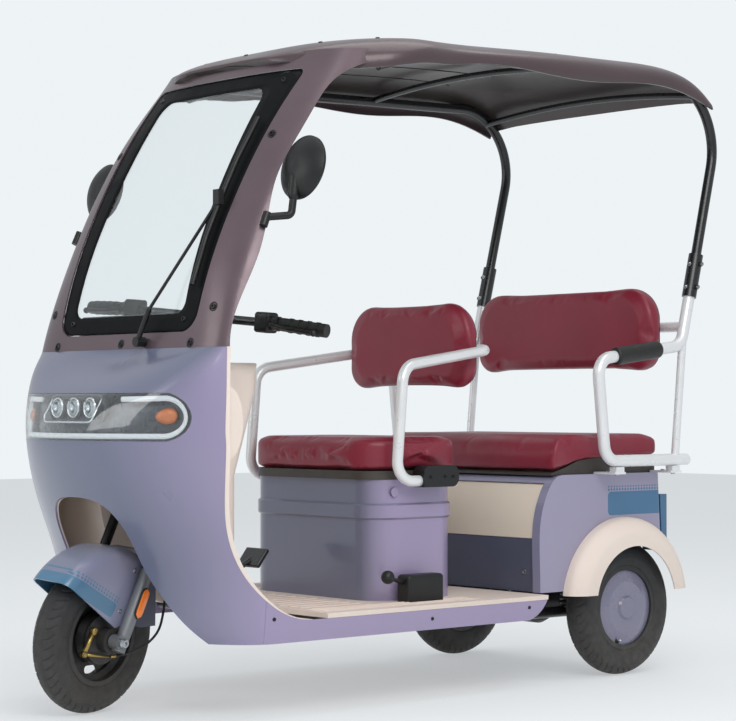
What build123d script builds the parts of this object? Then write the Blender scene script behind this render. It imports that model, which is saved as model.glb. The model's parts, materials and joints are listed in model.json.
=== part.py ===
from build123d import *
from math import cos, radians, sin, tan
import os

# Electric passenger tricycle with a canopy, a driver's seat and a rear bench.
# Lengths are millimetres. X is measured forward from the rear axle, Y to the left
# and Z up from the ground. Every piece is moved by DATUM_X when it is written, so
# that the origin lies on the ground under the middle of the vehicle.

DATUM_X = -685.0

# ---- running gear ----
WHEELBASE = 1505.0
TRACK = 642.0
TYRE_DIAMETER = 365.0
TYRE_WIDTH = 80.0
RIM_DIAMETER = 228.0
RIM_FLANGE = 4.0
RIM_WALL = 4.0
AXLE_DIAMETER = 30.0
FRONT_AXLE_DIAMETER = 20.0
BEAM_DIAMETER = 54.0

# ---- steering ----
RAKE = 24.3
STEER_AT_REST = 13.9
FORK_SPACING = 160.0
FORK_LEG_DIAMETER = 32.0
FORK_LEG_SETBACK = 15.0
AXIS_BEHIND_LEGS = 35.0
BAR_HEIGHT = 955.0
BAR_AHEAD_OF_AXIS = 97.0
BAR_HALF_SPAN = 380.0
BAR_DIAMETER = 22.0
GRIP_DIAMETER = 33.0
GRIP_LENGTH = 122.0
FENDER_WIDTH = 126.0
FENDER_GAP = 38.0
FENDER_REAR_SETBACK = 5.0
FENDER_LOW = 220.0
FENDER_HIGH = 386.0
YOKE_HEIGHT = 560.0

# ---- body ----
PANEL = 5.0
FLOOR_TOP = 240.0
FLOOR_THICKNESS = 11.5
FLOOR_FRONT = 1100.0
SPINE_BACK = 1160.0
SPINE_HALF_WIDTH = 135.0
SPINE_TOP = 838.0
FLOOR_REAR = 352.0
SKIRT_JOINT = 1285.0
DASH_TOP = 868.0
COWL_REAR = 1390.0

# ---- seats ----
DRIVER_BOX_FRONT = 824.0
DRIVER_BOX_DEPTH = 292.0
DRIVER_BOX_HALF_WIDTH = 260.0
DRIVER_BOX_TOP = 545.0
DRIVER_CUSHION_TOP = 652.0
BENCH_FRONT = 329.0
BENCH_REAR = -158.0
BENCH_HALF_WIDTH = 350.0
BENCH_TOP = 548.0
BENCH_CUSHION_TOP = 655.0
SEAT_BASE = 22.0
BACKREST_GAP = 1.1
BACKREST_LOW_CORNER = 60.0
BACKREST_HIGH_CORNER = 98.0
DRIVER_CUSHION_REAR = 500.0
DRIVER_CUSHION_FRONT = 842.0
DRIVER_CUSHION_HALF_WIDTH = 266.0
BENCH_LID_REAR = -140.0
BENCH_CUSHION_FRONT = 278.0
BENCH_LID_MARGIN = 12.0
BIN_FLOOR = 300.0
WELL_X = 12.0
WELL_Z = 195.0
WELL_RADIUS = 235.0
WELL_DEPTH_Y = 268.0
FENDER_LIP = 158.0
PANEL_HALF_WIDTH = 322.0
PANEL_RECESS = 12.0

# ---- tubes ----
ARM_TUBE = 28.0
SIDE_TUBE = 32.0
TAIL_DIAMETER = 31.0
TAIL_LENGTH = 26.0
TAIL_END_X = -186.0
CANOPY_TUBE = 28.0
SLEEVE_TUBE = 38.0
POST_Y = 409.0
RAIL_REAR_Z = 1636.0
RAIL_FRONT_Z = 1604.0
CANOPY_BEND = 185.0
SLEEVE_SPLIT = 1090.0
SIDE_RAIL_Z = 584.0
BACK_BAR_X = -184.0
ARM_Y = 298.0
ARM_CROSS_X = 418.0
RAIL_TUBE = 38.0
RAIL_Y = 150.0

# ---- roof ----
ROOF_WALL = 6.0
ROOF_SQUARENESS = 0.55

# ---- screen ----
SCREEN_BOTTOM = 905.0
SCREEN_TOP = 1552.0
SCREEN_LOW_CORNER = 50.0
SCREEN_HIGH_CORNER = 22.0
LAMP_HALF_WIDTH = 345.0
LAMP_HEIGHT = 112.0
LAMP_Z = 706.0
SCREEN_HALF_WIDTH = 285.0
FRAME_WALL = 22.0
ARCH_TOP = 515.0
SEAM = 0.3
RUN_FIT = 0.05
STEM_DIAMETER = 30.0
MIRROR_TILT = 12.0

AXLE_HEIGHT = TYRE_DIAMETER / 2
RIM_RADIUS = RIM_DIAMETER / 2
FRONT_AXLE = Vector(WHEELBASE, 0, AXLE_HEIGHT)
FLOOR_BOTTOM = FLOOR_TOP - FLOOR_THICKNESS

def tube(points, radius, outer):
    """A round bar that follows straight runs joined by bends of one radius."""
    if len(points) > 2:
        path = FilletPolyline(*points, radius=radius)
    else:
        path = Line(*points)
    profile = Plane(origin=path @ 0, z_dir=path % 0) * Circle(outer / 2)
    return sweep(profile, path=path)


def side_plate(outline, half_width):
    """A side-view outline (X, Z) extruded across the vehicle."""
    return extrude(Plane.XZ * make_face(outline), amount=half_width, both=True)


def side_slab(outline, y_from, y_to):
    """A side-view outline extruded from one Y to another."""
    face = Plane.XZ.offset(-y_from) * make_face(outline)
    return extrude(face, amount=-(y_to - y_from))


def block(x, y, z):
    """A box between two values on each axis."""
    size = (x[1] - x[0], y[1] - y[0], z[1] - z[0])
    centre = ((x[0] + x[1]) / 2, (y[0] + y[1]) / 2, (z[0] + z[1]) / 2)
    return Pos(*centre) * Box(*size)


def round_bar(start, end, diameter):
    """A straight round bar between two points."""
    start, end = Vector(*start), Vector(*end)
    axis = end - start
    return extrude(Plane(origin=start, z_dir=axis) * Circle(diameter / 2), amount=axis.length)


# ---------------------------------------------------------------- wheels
def tyre():
    """A balloon tyre, revolved about Y, with its beads outside the rim flanges."""
    bead = 28.0
    barrel = RIM_RADIUS - 8
    half = TYRE_WIDTH / 2
    outer = TYRE_DIAMETER / 2
    crown = Spline((RIM_RADIUS, bead + RIM_FLANGE + 1), (RIM_RADIUS + 28, half), (outer - 14, half - 9),
                   (outer, 0), (outer - 14, 9 - half), (RIM_RADIUS + 28, -half),
                   (RIM_RADIUS, -bead - RIM_FLANGE - 1))
    beads = Polyline(crown @ 1, (RIM_RADIUS, -bead), (barrel, -bead), (barrel, bead),
                     (RIM_RADIUS, bead), crown @ 0)
    return revolve(make_face([crown, beads]), axis=Axis.Y)


def rim(disc_offset):
    """A pressed rim: drop barrel, two flanges and a dished disc at disc_offset."""
    bead = 28.0
    barrel = RIM_RADIUS - 8
    well = barrel - 14
    wall = RIM_WALL
    outline = Polyline((barrel, bead + RIM_FLANGE), (barrel, bead), (barrel, 14), (well, 8), (well, -8),
                       (barrel, -14), (barrel, -bead - RIM_FLANGE), (barrel - wall, -bead - RIM_FLANGE),
                       (barrel - wall, -14), (well - wall, -8), (well - wall, 8), (barrel - wall, 14),
                       (barrel - wall, bead + RIM_FLANGE), close=True)
    barrel_ring = revolve(make_face(outline), axis=Axis.Y)
    flange = Polyline((barrel - wall, bead), (RIM_RADIUS, bead), (RIM_RADIUS, bead + RIM_FLANGE),
                      (barrel - wall, bead + RIM_FLANGE), close=True)
    flange_ring = revolve(make_face(flange), axis=Axis.Y)
    far_ring = mirror(flange_ring, about=Plane.XZ)
    dish = Polyline((34, disc_offset), (60, disc_offset), (well - 2, 0), (well - 2, -wall),
                    (60 - 2, disc_offset - wall), (34, disc_offset - wall), close=True)
    disc = revolve(make_face(dish), axis=Axis.Y)
    return barrel_ring + flange_ring + far_ring + disc


def front_rim():
    """The front rim, its disc pierced by six oval windows."""
    wheel = rim(-6)
    window = extrude(Plane.XZ * SlotOverall(40, 20), amount=60, both=True)
    for turn in range(6):
        wheel -= Rot(0, 60 * turn, 0) * (Pos(0, 0, 80) * window)
    bore = FRONT_AXLE_DIAMETER / 2 + RUN_FIT
    outline = Polyline((bore, -55), (18, -55), (30, -34), (36, -12), (36, 12), (30, 25), (bore, 25),
                       close=True)
    hub = revolve(make_face(outline), axis=Axis.Y)
    drum = revolve(make_face(Polyline((34, 2), (62, 2), (62, 26), (57, 26), (57, 7), (34, 7),
                                      close=True)), axis=Axis.Y)
    return wheel + hub + drum


def rear_rim():
    """A rear rim with a bored boss that runs on the axle stub."""
    bore = AXLE_DIAMETER / 2 + RUN_FIT
    boss = revolve(make_face(Polyline((bore, -24), (36, -24), (36, 16), (bore, 16), close=True)), axis=Axis.Y)
    return rim(10) + boss


def hub_cap():
    """A domed cover with a raised ring and a flat middle boss."""
    radius = RIM_RADIUS - 8 - RIM_WALL - SEAM
    seat = 17.0
    outline = Polyline((0, seat + 6), (0, seat + 22), (28, seat + 22), (33, seat + 16), (70, seat + 17),
                       (84, seat + 13), (radius, seat + 8), (radius, seat + 3), (84, seat + 6),
                       (70, seat + 12), (40, seat + 6), close=True)
    return revolve(make_face(outline), axis=Axis.Y)


# ---------------------------------------------------------------- steering
LEG_AT_AXLE = WHEELBASE - FORK_LEG_SETBACK
AXIS_AT_AXLE = LEG_AT_AXLE - AXIS_BEHIND_LEGS
STEER_DIRECTION = Vector(-sin(radians(RAKE)), 0, cos(radians(RAKE)))
STEER_POINT = Vector(AXIS_AT_AXLE, 0, AXLE_HEIGHT)
STEER_AXIS = Axis(STEER_POINT, STEER_DIRECTION)


def on_rake(x_at_axle, height):
    """X of a raked line at a height, given its X at the axle's height."""
    return x_at_axle - (height - AXLE_HEIGHT) * tan(radians(RAKE))


def turned(piece):
    """A steered piece, built straight ahead, at the stored steering angle."""
    return piece.rotate(STEER_AXIS, STEER_AT_REST)


def fork():
    """Two telescopic legs, bottom yoke, raked stem and the axle."""
    leg_y = FORK_SPACING / 2
    low, slider_top, yoke_z = 158.0, 372.0, YOKE_HEIGHT
    legs = []
    for side in (1, -1):
        slider = round_bar((on_rake(LEG_AT_AXLE, low), side * leg_y, low),
                           (on_rake(LEG_AT_AXLE, slider_top), side * leg_y, slider_top), FORK_LEG_DIAMETER)
        tube_bar = round_bar((on_rake(LEG_AT_AXLE, slider_top - 10), side * leg_y, slider_top - 10),
                             (on_rake(LEG_AT_AXLE, yoke_z + 18), side * leg_y, yoke_z + 18),
                             FORK_LEG_DIAMETER - 7)
        lug = round_bar((WHEELBASE, side * (leg_y - 14), AXLE_HEIGHT),
                        (WHEELBASE, side * (leg_y + 12), AXLE_HEIGHT), 34)
        legs.append(slider + tube_bar + lug)
    axle = round_bar((WHEELBASE, -leg_y - 22, AXLE_HEIGHT), (WHEELBASE, leg_y + 22, AXLE_HEIGHT),
                     FRONT_AXLE_DIAMETER)
    yoke_plane = Plane(origin=(on_rake(LEG_AT_AXLE - AXIS_BEHIND_LEGS / 2, yoke_z), 0, yoke_z),
                       z_dir=STEER_DIRECTION, x_dir=(cos(radians(RAKE)), 0, sin(radians(RAKE))))
    yoke = extrude(yoke_plane * RectangleRounded(78, FORK_SPACING + 40, 20), amount=24)
    stem = round_bar((on_rake(AXIS_AT_AXLE, yoke_z + 5), 0, yoke_z + 5),
                     (on_rake(AXIS_AT_AXLE, 880), 0, 880), STEM_DIAMETER)
    return legs[0] + legs[1] + axle + yoke + stem


def front_fender():
    """A deep mudguard: crown over the tyre and side valances back to the fork."""
    reach = TYRE_DIAMETER / 2 + FENDER_GAP
    wall = 4.0
    rear = LEG_AT_AXLE - FENDER_REAR_SETBACK
    low = (on_rake(rear, FENDER_LOW), FENDER_LOW)

    def outline(inset):
        radius = reach - inset
        tip = (WHEELBASE + radius * cos(radians(42)), AXLE_HEIGHT + radius * sin(radians(42)))
        back = (WHEELBASE - radius * sin(radians(55)), AXLE_HEIGHT + radius * cos(radians(55)))
        crown = ThreePointArc(tip, (WHEELBASE, AXLE_HEIGHT + radius), back)
        return [crown, Polyline(back, (back[0], low[1]), low, (low[0] + 30, low[1] - 8), tip)]

    solid = side_plate(outline(0), FENDER_WIDTH / 2)
    crown_edges = solid.edges().filter_by(GeomType.CIRCLE).filter_by(lambda e: e.length > 150)
    solid = fillet(crown_edges, 30)
    hollow = side_plate(outline(wall), FENDER_WIDTH / 2 - wall)
    hollow_edges = hollow.edges().filter_by(GeomType.CIRCLE).filter_by(lambda e: e.length > 150)
    hollow = fillet(hollow_edges, 30 - wall)
    below = block((WHEELBASE - 200, WHEELBASE + 220), (-FENDER_WIDTH / 2 + wall, FENDER_WIDTH / 2 - wall),
                  (150, 235))
    behind = Polyline((on_rake(rear, 100), 100), (on_rake(rear, 600), 600), (WHEELBASE - 400, 600),
                      (WHEELBASE - 400, 100), close=True)
    return solid - hollow - below - side_plate(behind, FENDER_WIDTH)


def rear_guard():
    """The dark inner mudguard that wraps the tyre behind the fork."""
    wall = 3.0
    near = LEG_AT_AXLE - FENDER_REAR_SETBACK - SEAM
    outline = Polyline((on_rake(near, FENDER_HIGH), FENDER_HIGH), (on_rake(near, FENDER_LOW), FENDER_LOW),
                       (WHEELBASE - 100, 205), (WHEELBASE - 150, 205), (WHEELBASE - 135, FENDER_HIGH),
                       close=True)
    shell = side_plate(outline, FENDER_WIDTH / 2)
    room = Pos(WHEELBASE, 0, AXLE_HEIGHT) * Rot(90, 0, 0) * Cylinder(TYRE_DIAMETER / 2 + 11, 200)
    inner = side_plate(outline, FENDER_WIDTH / 2 - wall) & room
    return shell - inner


def bar_tube(diameter):
    """The bar's bent run: level across the middle, swept back at the grips."""
    centre = on_rake(AXIS_AT_AXLE, BAR_HEIGHT) + BAR_AHEAD_OF_AXIS
    left = [(centre - 26, BAR_HALF_SPAN, BAR_HEIGHT - 6), (centre - 8, 250, BAR_HEIGHT),
            (centre, 90, BAR_HEIGHT)]
    right = [(x, -y, z) for x, y, z in reversed(left)]
    return tube(left + right, 120, diameter)


def handlebar():
    """The one-piece bar on its riser."""
    centre = on_rake(AXIS_AT_AXLE, BAR_HEIGHT) + BAR_AHEAD_OF_AXIS
    bar = bar_tube(BAR_DIAMETER)
    riser = tube([(on_rake(AXIS_AT_AXLE, 850), 0, 850), (on_rake(AXIS_AT_AXLE, 902) + 4, 0, 902),
                  (centre, 0, BAR_HEIGHT)], 20, 36)
    stem = round_bar((on_rake(AXIS_AT_AXLE, 800), 0, 800), (on_rake(AXIS_AT_AXLE, 880), 0, 880),
                     STEM_DIAMETER + 2 * RUN_FIT)
    return bar + riser - stem


# ---------------------------------------------------------------- front body
NOSE_BACK = 1250.0
NOSE_STATIONS = (
    (178, 1437, 396, 2.0),
    (240, 1458, 402, 2.0),
    (370, 1484, 418, 2.0),
    (492, 1542, 430, 2.0),
    (600, 1578, 435, 2.0),
    (690, 1582, 432, 2.1),
    (780, 1520, 410, 3.2),
    (DASH_TOP, 1420, 400, 8.0),
)
FRAME_STATIONS = (
    (DASH_TOP, 1420, 400, 8.0),
    (1000, 1389, 400, 6.0),
    (1150, 1340, 400, 4.5),
    (1311, 1262, 400, 4.2),
    (1440, 1188, 400, 3.5),
    (1530, 1130, 398, 2.9),
    (1610, 1078, 394, 2.6),
)


def plan_section(height, reach, half_width, squareness, inset, back, tail):
    """A plan section: a superellipse in front of back, straight sides to tail."""
    half = half_width - inset
    length = reach - back - inset
    angles = (78, 65, 50, 40, 25, 12, 0, -12, -25, -40, -50, -65, -78)
    points = [(back, half, height)]
    for angle in angles:
        along = abs(cos(radians(angle))) ** (2 / squareness)
        across = abs(sin(radians(angle))) ** (2 / squareness)
        points.append((back + length * along, half * across * (1 if angle > 0 else -1), height))
    points.append((back, -half, height))
    front = Spline(*points)
    return make_face([front, Polyline(front @ 1, (tail, -half, height), (tail, half, height), front @ 0)])


def nose_solid(inset):
    """Nose and sills as one closed loft, inset all round by a wall."""
    return loft([plan_section(z, x, half, n, inset, NOSE_BACK, FLOOR_REAR)
                 for z, x, half, n in NOSE_STATIONS])


def frame_solid(inset):
    """The screen surround as a closed loft that leans back with height."""
    return loft([plan_section(z, x, half, n, inset, x - 170, x - 330)
                 for z, x, half, n in FRAME_STATIONS])


def cowl_edge(shift):
    """Side-view curve of the cowl's rear edge, from the floor up to the dash."""
    return Spline((1100 + shift, FLOOR_TOP - 12), (1183 + shift, FLOOR_TOP - 8), (1243 + shift, 252),
                  (1322 + shift, 319), (1368 + shift, 407), (COWL_REAR + shift, 500),
                  (COWL_REAR + 6 + shift, 640), (COWL_REAR + shift, DASH_TOP + 10),
                  tangents=((1, 0), (-0.05, 1)))


def behind_cowl(shift):
    """Everything behind the cowl's rear edge and above the floor, as a side plate."""
    edge = cowl_edge(shift)
    return side_plate([edge, Polyline(edge @ 1, (200, DASH_TOP + 10), (200, FLOOR_TOP - 12), edge @ 0)], 600)


def arch_cut():
    """The wheel arch as seen from the front, cut through the nose along X."""
    half = Spline((0, 515), (60, 511), (100, 497), (140, 445), (157, 350), (210, 268), (293, 182), (330, 150),
                  tangents=((1, 0), (1, -0.8)))
    other = mirror(half, about=Plane.YZ)
    face = Plane.YZ * make_face([half, other, Line(half @ 1, other @ 1)])
    return Pos(1300, 0, 0) * extrude(face, amount=400)


def lamp_band(clearance):
    """The wrap-round lamp's aperture, cut through the nose from the front."""
    slot = SlotOverall(2 * (LAMP_HALF_WIDTH + clearance), LAMP_HEIGHT + 2 * clearance)
    face = Plane.YZ.offset(1402) * (Pos(0, LAMP_Z) * slot)
    return extrude(face, amount=300)


def front_shell():
    """The moulded nose with its wheel arch, lamp aperture and swept rear edge."""
    shell = nose_solid(0) - nose_solid(PANEL)
    shell -= behind_cowl(0)
    shell -= block((300, SKIRT_JOINT), (-500, 500), (100, 900))
    shell -= arch_cut()
    return shell - lamp_band(0)


def side_skirts():
    """Sill panels that carry the nose's lower edge back along the floor."""
    band = nose_solid(0) - nose_solid(PANEL)
    band -= behind_cowl(0)
    band &= block((FLOOR_REAR + 4, SKIRT_JOINT - 0.5), (-500, 500), (100, 900))
    heel = ThreePointArc((FLOOR_REAR, 234), (FLOOR_REAR + 28, 196), (FLOOR_REAR + 92, 176))
    below = [heel, Polyline(heel @ 1, (FLOOR_REAR + 92, 100), (FLOOR_REAR, 100), heel @ 0)]
    return band - side_plate(below, 600)


def headlamp_cover():
    """The clear cover, flush with the nose."""
    return (nose_solid(0) - nose_solid(3)) & lamp_band(-SEAM)


def headlamp_unit():
    """The lamp's tray behind the cover, with three lenses in a bezel."""
    height, pitch = 724, 70
    tray = (nose_solid(3 + SEAM) - nose_solid(38)) & lamp_band(-SEAM)
    tray -= (nose_solid(2) - nose_solid(34)) & lamp_band(-4)
    lamps = extrude(Plane.YZ.offset(1515) * (Pos(0, height) * SlotOverall(2 * pitch + 100, 74)), amount=27)
    lamps -= extrude(Plane.YZ.offset(1530) * (Pos(0, height) * SlotOverall(2 * pitch + 88, 62)), amount=40)
    for step in (-1, 0, 1):
        lamps += round_bar((1520, pitch * step, height), (1547, pitch * step, height), 48)
    return tray + (lamps & nose_solid(3 + SEAM))


def arch_liner():
    """The inner skin of the wheel arch and its ceiling, open round the fork."""
    front = block((1400, 1700), (-500, 500), (232, ARCH_TOP + 17))
    skin = (nose_solid(PANEL + SEAM) - nose_solid(PANEL + SEAM + 4)) & front
    skin -= arch_cut()
    ceiling = nose_solid(PANEL + SEAM + 4) & block((1400, 1700), (-500, 500), (ARCH_TOP + 13, ARCH_TOP + 17))
    fork_room = round_bar((on_rake(AXIS_AT_AXLE, 400), 0, 400), (on_rake(AXIS_AT_AXLE, 700), 0, 700), 250)
    return skin + ceiling - fork_room


def spine_solid(inset):
    """The column housing behind the leg shield, as a closed solid inset by a wall."""
    back = SPINE_BACK + inset
    top = SPINE_TOP - inset
    low = FLOOR_BOTTOM - inset
    outline = Polyline((1500, low), (back, low), (back, 560), (back - 62, 760), (back - 70, top),
                       (1500, top), close=True)
    solid = side_plate(outline, SPINE_HALF_WIDTH - inset)
    corners = solid.edges().filter_by(lambda e: e.center().X < 1300 and abs(e.center().Y) > 50)
    return fillet(corners, 30 - inset)


def leg_shield():
    """The inner panel behind the cowl, its column housing and two glove pockets."""
    wall = 5.0
    panel = (nose_solid(0) & behind_cowl(-SEAM)) - behind_cowl(-SEAM - 8)
    panel &= block((FLOOR_FRONT + SEAM, 1700), (-500, 500), (FLOOR_BOTTOM, DASH_TOP))
    shield = (panel + (spine_solid(0) & behind_cowl(-SEAM))) - spine_solid(wall)
    bulge = Spline((1392, 780), (1352, 765), (1334, 720), (1334, 668), (1350, 625), (1392, 600))
    outline = [bulge, Line(bulge @ 1, bulge @ 0)]
    for side in (1, -1):
        pocket = side_slab(outline, 165, 372) if side > 0 else side_slab(outline, -372, -165)
        room = side_slab(outline, 169, 368) if side > 0 else side_slab(outline, -368, -169)
        shield += (pocket - Pos(4, 0, 0) * room) & behind_cowl(-SEAM)
    neck = round_bar((on_rake(AXIS_AT_AXLE, 780), 0, 780), (on_rake(AXIS_AT_AXLE, 900), 0, 900), 92)
    return shield - neck


def floor_board():
    """The footboard, flush with the sills, with raised ribs along the feet."""
    board = nose_solid(0) & block((FLOOR_REAR, FLOOR_FRONT), (-500, 500), (FLOOR_BOTTOM, FLOOR_TOP))
    rib = Box(190, 14, 4)
    for step in range(-7, 8):
        board += Pos(970, 42 * step, FLOOR_TOP) * rib
    return board


def dash_cowl():
    """The instrument hood that closes the space under the screen."""
    low, high = DASH_TOP + SEAM, 953.0
    reach, lean = FRAME_STATIONS[0][1] - FRAME_WALL - 1, 0.235
    outline = Polyline((1322, low), (1322, high - 18), (1338, high), (reach - lean * (high - low), high),
                       (reach - 1, low), close=True)
    hood = side_plate(outline, 230)
    return fillet(hood.edges().filter_by(lambda e: e.center().Z > 880), 7)


def frame_front(height, y):
    """X of the screen surround's outer face at a height and a distance across."""
    for low, high in zip(FRAME_STATIONS, FRAME_STATIONS[1:]):
        if low[0] <= height <= high[0]:
            break
    share = (height - low[0]) / (high[0] - low[0])
    reach, half, power = (low[i] + share * (high[i] - low[i]) for i in (1, 2, 3))
    return reach - 170 + 170 * (1 - (abs(y) / half) ** power) ** (1 / power)


def frame_flank(height, x):
    """Y of the screen surround's left face at a height and a distance forward."""
    for low, high in zip(FRAME_STATIONS, FRAME_STATIONS[1:]):
        if low[0] <= height <= high[0]:
            break
    share = (height - low[0]) / (high[0] - low[0])
    reach, half, power = (low[i] + share * (high[i] - low[i]) for i in (1, 2, 3))
    return half * (1 - (max(0, x - reach + 170) / 170) ** power) ** (1 / power)


def screen_opening(margin):
    """The screen's outline from the front, grown by a margin, cut along X."""
    low, high = SCREEN_BOTTOM - margin, SCREEN_TOP + margin
    wide, wider = SCREEN_HALF_WIDTH + margin, SCREEN_HALF_WIDTH + 15 + margin
    outline = Polyline((-wide, low), (wide, low), (wider, high), (-wider, high), close=True)
    face = make_face(outline)
    face = fillet(face.vertices().sort_by(Axis.Y)[:2], SCREEN_LOW_CORNER + margin)
    face = fillet(face.vertices().sort_by(Axis.Y)[-2:], SCREEN_HIGH_CORNER + margin)
    return Pos(1000, 0, 0) * extrude(Plane.YZ * face, amount=600)


def windshield_frame():
    """The screen surround with its pillars, cut back along a swept rear edge."""
    edge = Spline((1385, DASH_TOP - 20), (1385, DASH_TOP), (1298, 1092), (1240, 1260), (1165, 1383),
                  (1112, 1457), (1067, 1510), (1020, 1544), (969, 1564), (900, 1582))
    behind = side_plate([edge, Polyline(edge @ 1, (400, 1582), (400, DASH_TOP - 20), edge @ 0)], 600)
    surround = frame_solid(0) - frame_solid(FRAME_WALL)
    surround -= behind
    surround &= block((900, 1500), (-500, 500), (DASH_TOP + SEAM, 1600))
    surround -= screen_opening(0)
    surround -= roof_solid(-SEAM, 1 + SEAM)
    return surround.solids().sort_by(SortBy.VOLUME)[-1]


def windshield():
    """The curved screen, seated in the surround's opening."""
    pane = frame_solid(4) - frame_solid(9)
    return pane & screen_opening(-SEAM)


def wiper():
    """Spindle, arm and blade, parked upright at the left of the screen."""
    off, y = 19.0, 262
    spindle = frame_front(872, 100) + SEAM
    boss = round_bar((spindle, 100, 884), (spindle + 26, 100, 884), 24)
    knee = Vector(frame_front(960, 140) + off + 16, 140, 960)
    clip = Vector(frame_front(1221, y) + off, y, 1221)
    arm = round_bar((spindle + 20, 100, 884), knee, 13) + Pos(*knee) * Sphere(6.5) + round_bar(knee, clip, 8)
    blade = tube([(frame_front(z, y) + off - 4, y, z) for z in (1015, 1130, 1221, 1320, 1424)], 300, 13)
    return boss + arm + blade + Pos(clip.X + 3, clip.Y, clip.Z + 4) * Box(16, 22, 36)


# ---------------------------------------------------------------- chassis
def chassis_frame():
    """Two kicked-up rails, cross members, the down tube and the head tube."""
    rail_z = FLOOR_BOTTOM - SEAM - RAIL_TUBE / 2
    rear_z = BIN_FLOOR - PANEL - SEAM - RAIL_TUBE / 2
    rails = [tube([(-140, y, rear_z), (190, y, rear_z), (330, y, rail_z), (1120, y, rail_z)], 90, RAIL_TUBE)
             for y in (RAIL_Y, -RAIL_Y)]
    crosses = [round_bar((x, -RAIL_Y, z), (x, RAIL_Y, z), RAIL_TUBE - 8)
               for x, z in ((-120, rear_z), (150, rear_z), (420, rail_z), (760, rail_z), (1090, rail_z))]
    outriggers = [round_bar((x, -360, rail_z), (x, 360, rail_z), 26) for x in (480, 1040)]
    down_x = SPINE_BACK + 45
    down = tube([(1060, 0, rail_z), (down_x, 0, rail_z), (down_x, 0, 712)], 40, RAIL_TUBE)
    head = round_bar((on_rake(AXIS_AT_AXLE, 590), 0, 590), (on_rake(AXIS_AT_AXLE, 800), 0, 800), 50)
    hangers = [round_bar((430, y, 157), (430, y, rail_z), 22) for y in (RAIL_Y, -RAIL_Y)]
    frame = rails[0] + rails[1] + crosses + outriggers + hangers + down + head
    bore = round_bar((on_rake(AXIS_AT_AXLE, 500), 0, 500), (on_rake(AXIS_AT_AXLE, 900), 0, 900),
                     STEM_DIAMETER + 2 * RUN_FIT)
    return frame - bore


def rear_axle():
    """The live axle: tube, centre motor housing, brake backs and wheel stubs."""
    wheel_y = TRACK / 2
    beam = round_bar((0, -wheel_y + 50, AXLE_HEIGHT), (0, wheel_y - 50, AXLE_HEIGHT), BEAM_DIAMETER)
    stub = round_bar((0, -wheel_y - 14, AXLE_HEIGHT), (0, wheel_y + 14, AXLE_HEIGHT), AXLE_DIAMETER)
    outline = Polyline((0, -78), (52, -78), (66, -66), (66, 24), (58, 40), (30, 62), (0, 62), close=True)
    housing = Pos(0, 0, AXLE_HEIGHT) * revolve(make_face(outline), axis=Axis.Y)
    motor = round_bar((40, -60, AXLE_HEIGHT + 6), (40, -172, AXLE_HEIGHT + 6), 112)
    backs = []
    for side in (1, -1):
        start = side * (wheel_y - 52)
        backs.append(round_bar((0, start, AXLE_HEIGHT), (0, start + side * 8, AXLE_HEIGHT), 150))
    return beam + stub + housing + motor + backs[0] + backs[1]


def coil_spring(height):
    """A compressed coil spring over its damper, as one ringed body of revolution."""
    turns, inside, outside = 8, 19.0, 26.0
    pitch = (height - 16) / turns
    rings = Polyline((0, 0), (outside, 0), (outside, 8), (inside, 8))
    for turn in range(turns):
        low = 8 + turn * pitch
        rings += ThreePointArc((inside, low), (outside, low + pitch / 2), (inside, low + pitch))
    rings += Polyline((inside, height - 8), (outside, height - 8), (outside, height), (0, height), (0, 0))
    return revolve(Plane.XZ * make_face(rings.edges()), axis=Axis.Z)


def rear_suspension():
    """Trailing arms to the axle and a short coil-over spring on each side."""
    pieces = []
    for side in (1, -1):
        y = side * 205
        arm = round_bar((430, y, 170), (0, y, 168), 30)
        clamp = round_bar((0, y - 20, AXLE_HEIGHT), (0, y + 20, AXLE_HEIGHT), 74)
        eye = round_bar((430, y + side * 18, 170), (430, side * (RAIL_Y + 11 + SEAM), 170), 26)
        spring = Pos(70, y, 176) * coil_spring(BIN_FLOOR - PANEL - SEAM - 176)
        beam = round_bar((0, y - 60, AXLE_HEIGHT), (0, y + 60, AXLE_HEIGHT), BEAM_DIAMETER + 2 * SEAM)
        pieces.append(arm + clamp + eye + spring - beam)
    return pieces[0] + pieces[1]


# ---------------------------------------------------------------- seats and boxes
def plan_slab(x, half_width, z, corner):
    """A slab with rounded corners in plan, between two X and two Z values."""
    plan = RectangleRounded(x[1] - x[0], 2 * half_width, corner)
    return Pos((x[0] + x[1]) / 2, 0, z[0]) * extrude(plan, amount=z[1] - z[0])


def soften(solid, top_radius, bottom_radius):
    """Rounds a cushion's upper and lower rims."""
    top = solid.faces().sort_by(Axis.Z)[-1].edges()
    solid = fillet(top, top_radius)
    return fillet(solid.faces().sort_by(Axis.Z)[0].edges(), bottom_radius)


def driver_seat_box():
    """The open-topped plinth under the driver's seat, with a raised belt."""
    rear = DRIVER_BOX_FRONT - DRIVER_BOX_DEPTH
    span, half = (rear, DRIVER_BOX_FRONT), DRIVER_BOX_HALF_WIDTH
    outer = plan_slab(span, half, (FLOOR_TOP, DRIVER_BOX_TOP), 80)
    belt = plan_slab((rear - 6, DRIVER_BOX_FRONT + 6), half + 6, (444, 485), 86)
    rims = belt.edges().filter_by(lambda e: abs(e.center().Z - 444) < 1 or abs(e.center().Z - 485) < 1)
    belt = chamfer(rims, 5)
    inner = plan_slab((rear + PANEL, DRIVER_BOX_FRONT - PANEL), half - PANEL,
                      (FLOOR_TOP - 1, DRIVER_BOX_TOP + 1), 75)
    lock = round_bar((765, half - 1, 514), (765, half + 5, 514), 24)
    return outer + belt - inner + lock


def battery_pack():
    """The traction battery, standing on the footboard inside the driver's box."""
    return plan_slab((584, 800), 200, (FLOOR_TOP, 408), 8)


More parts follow.
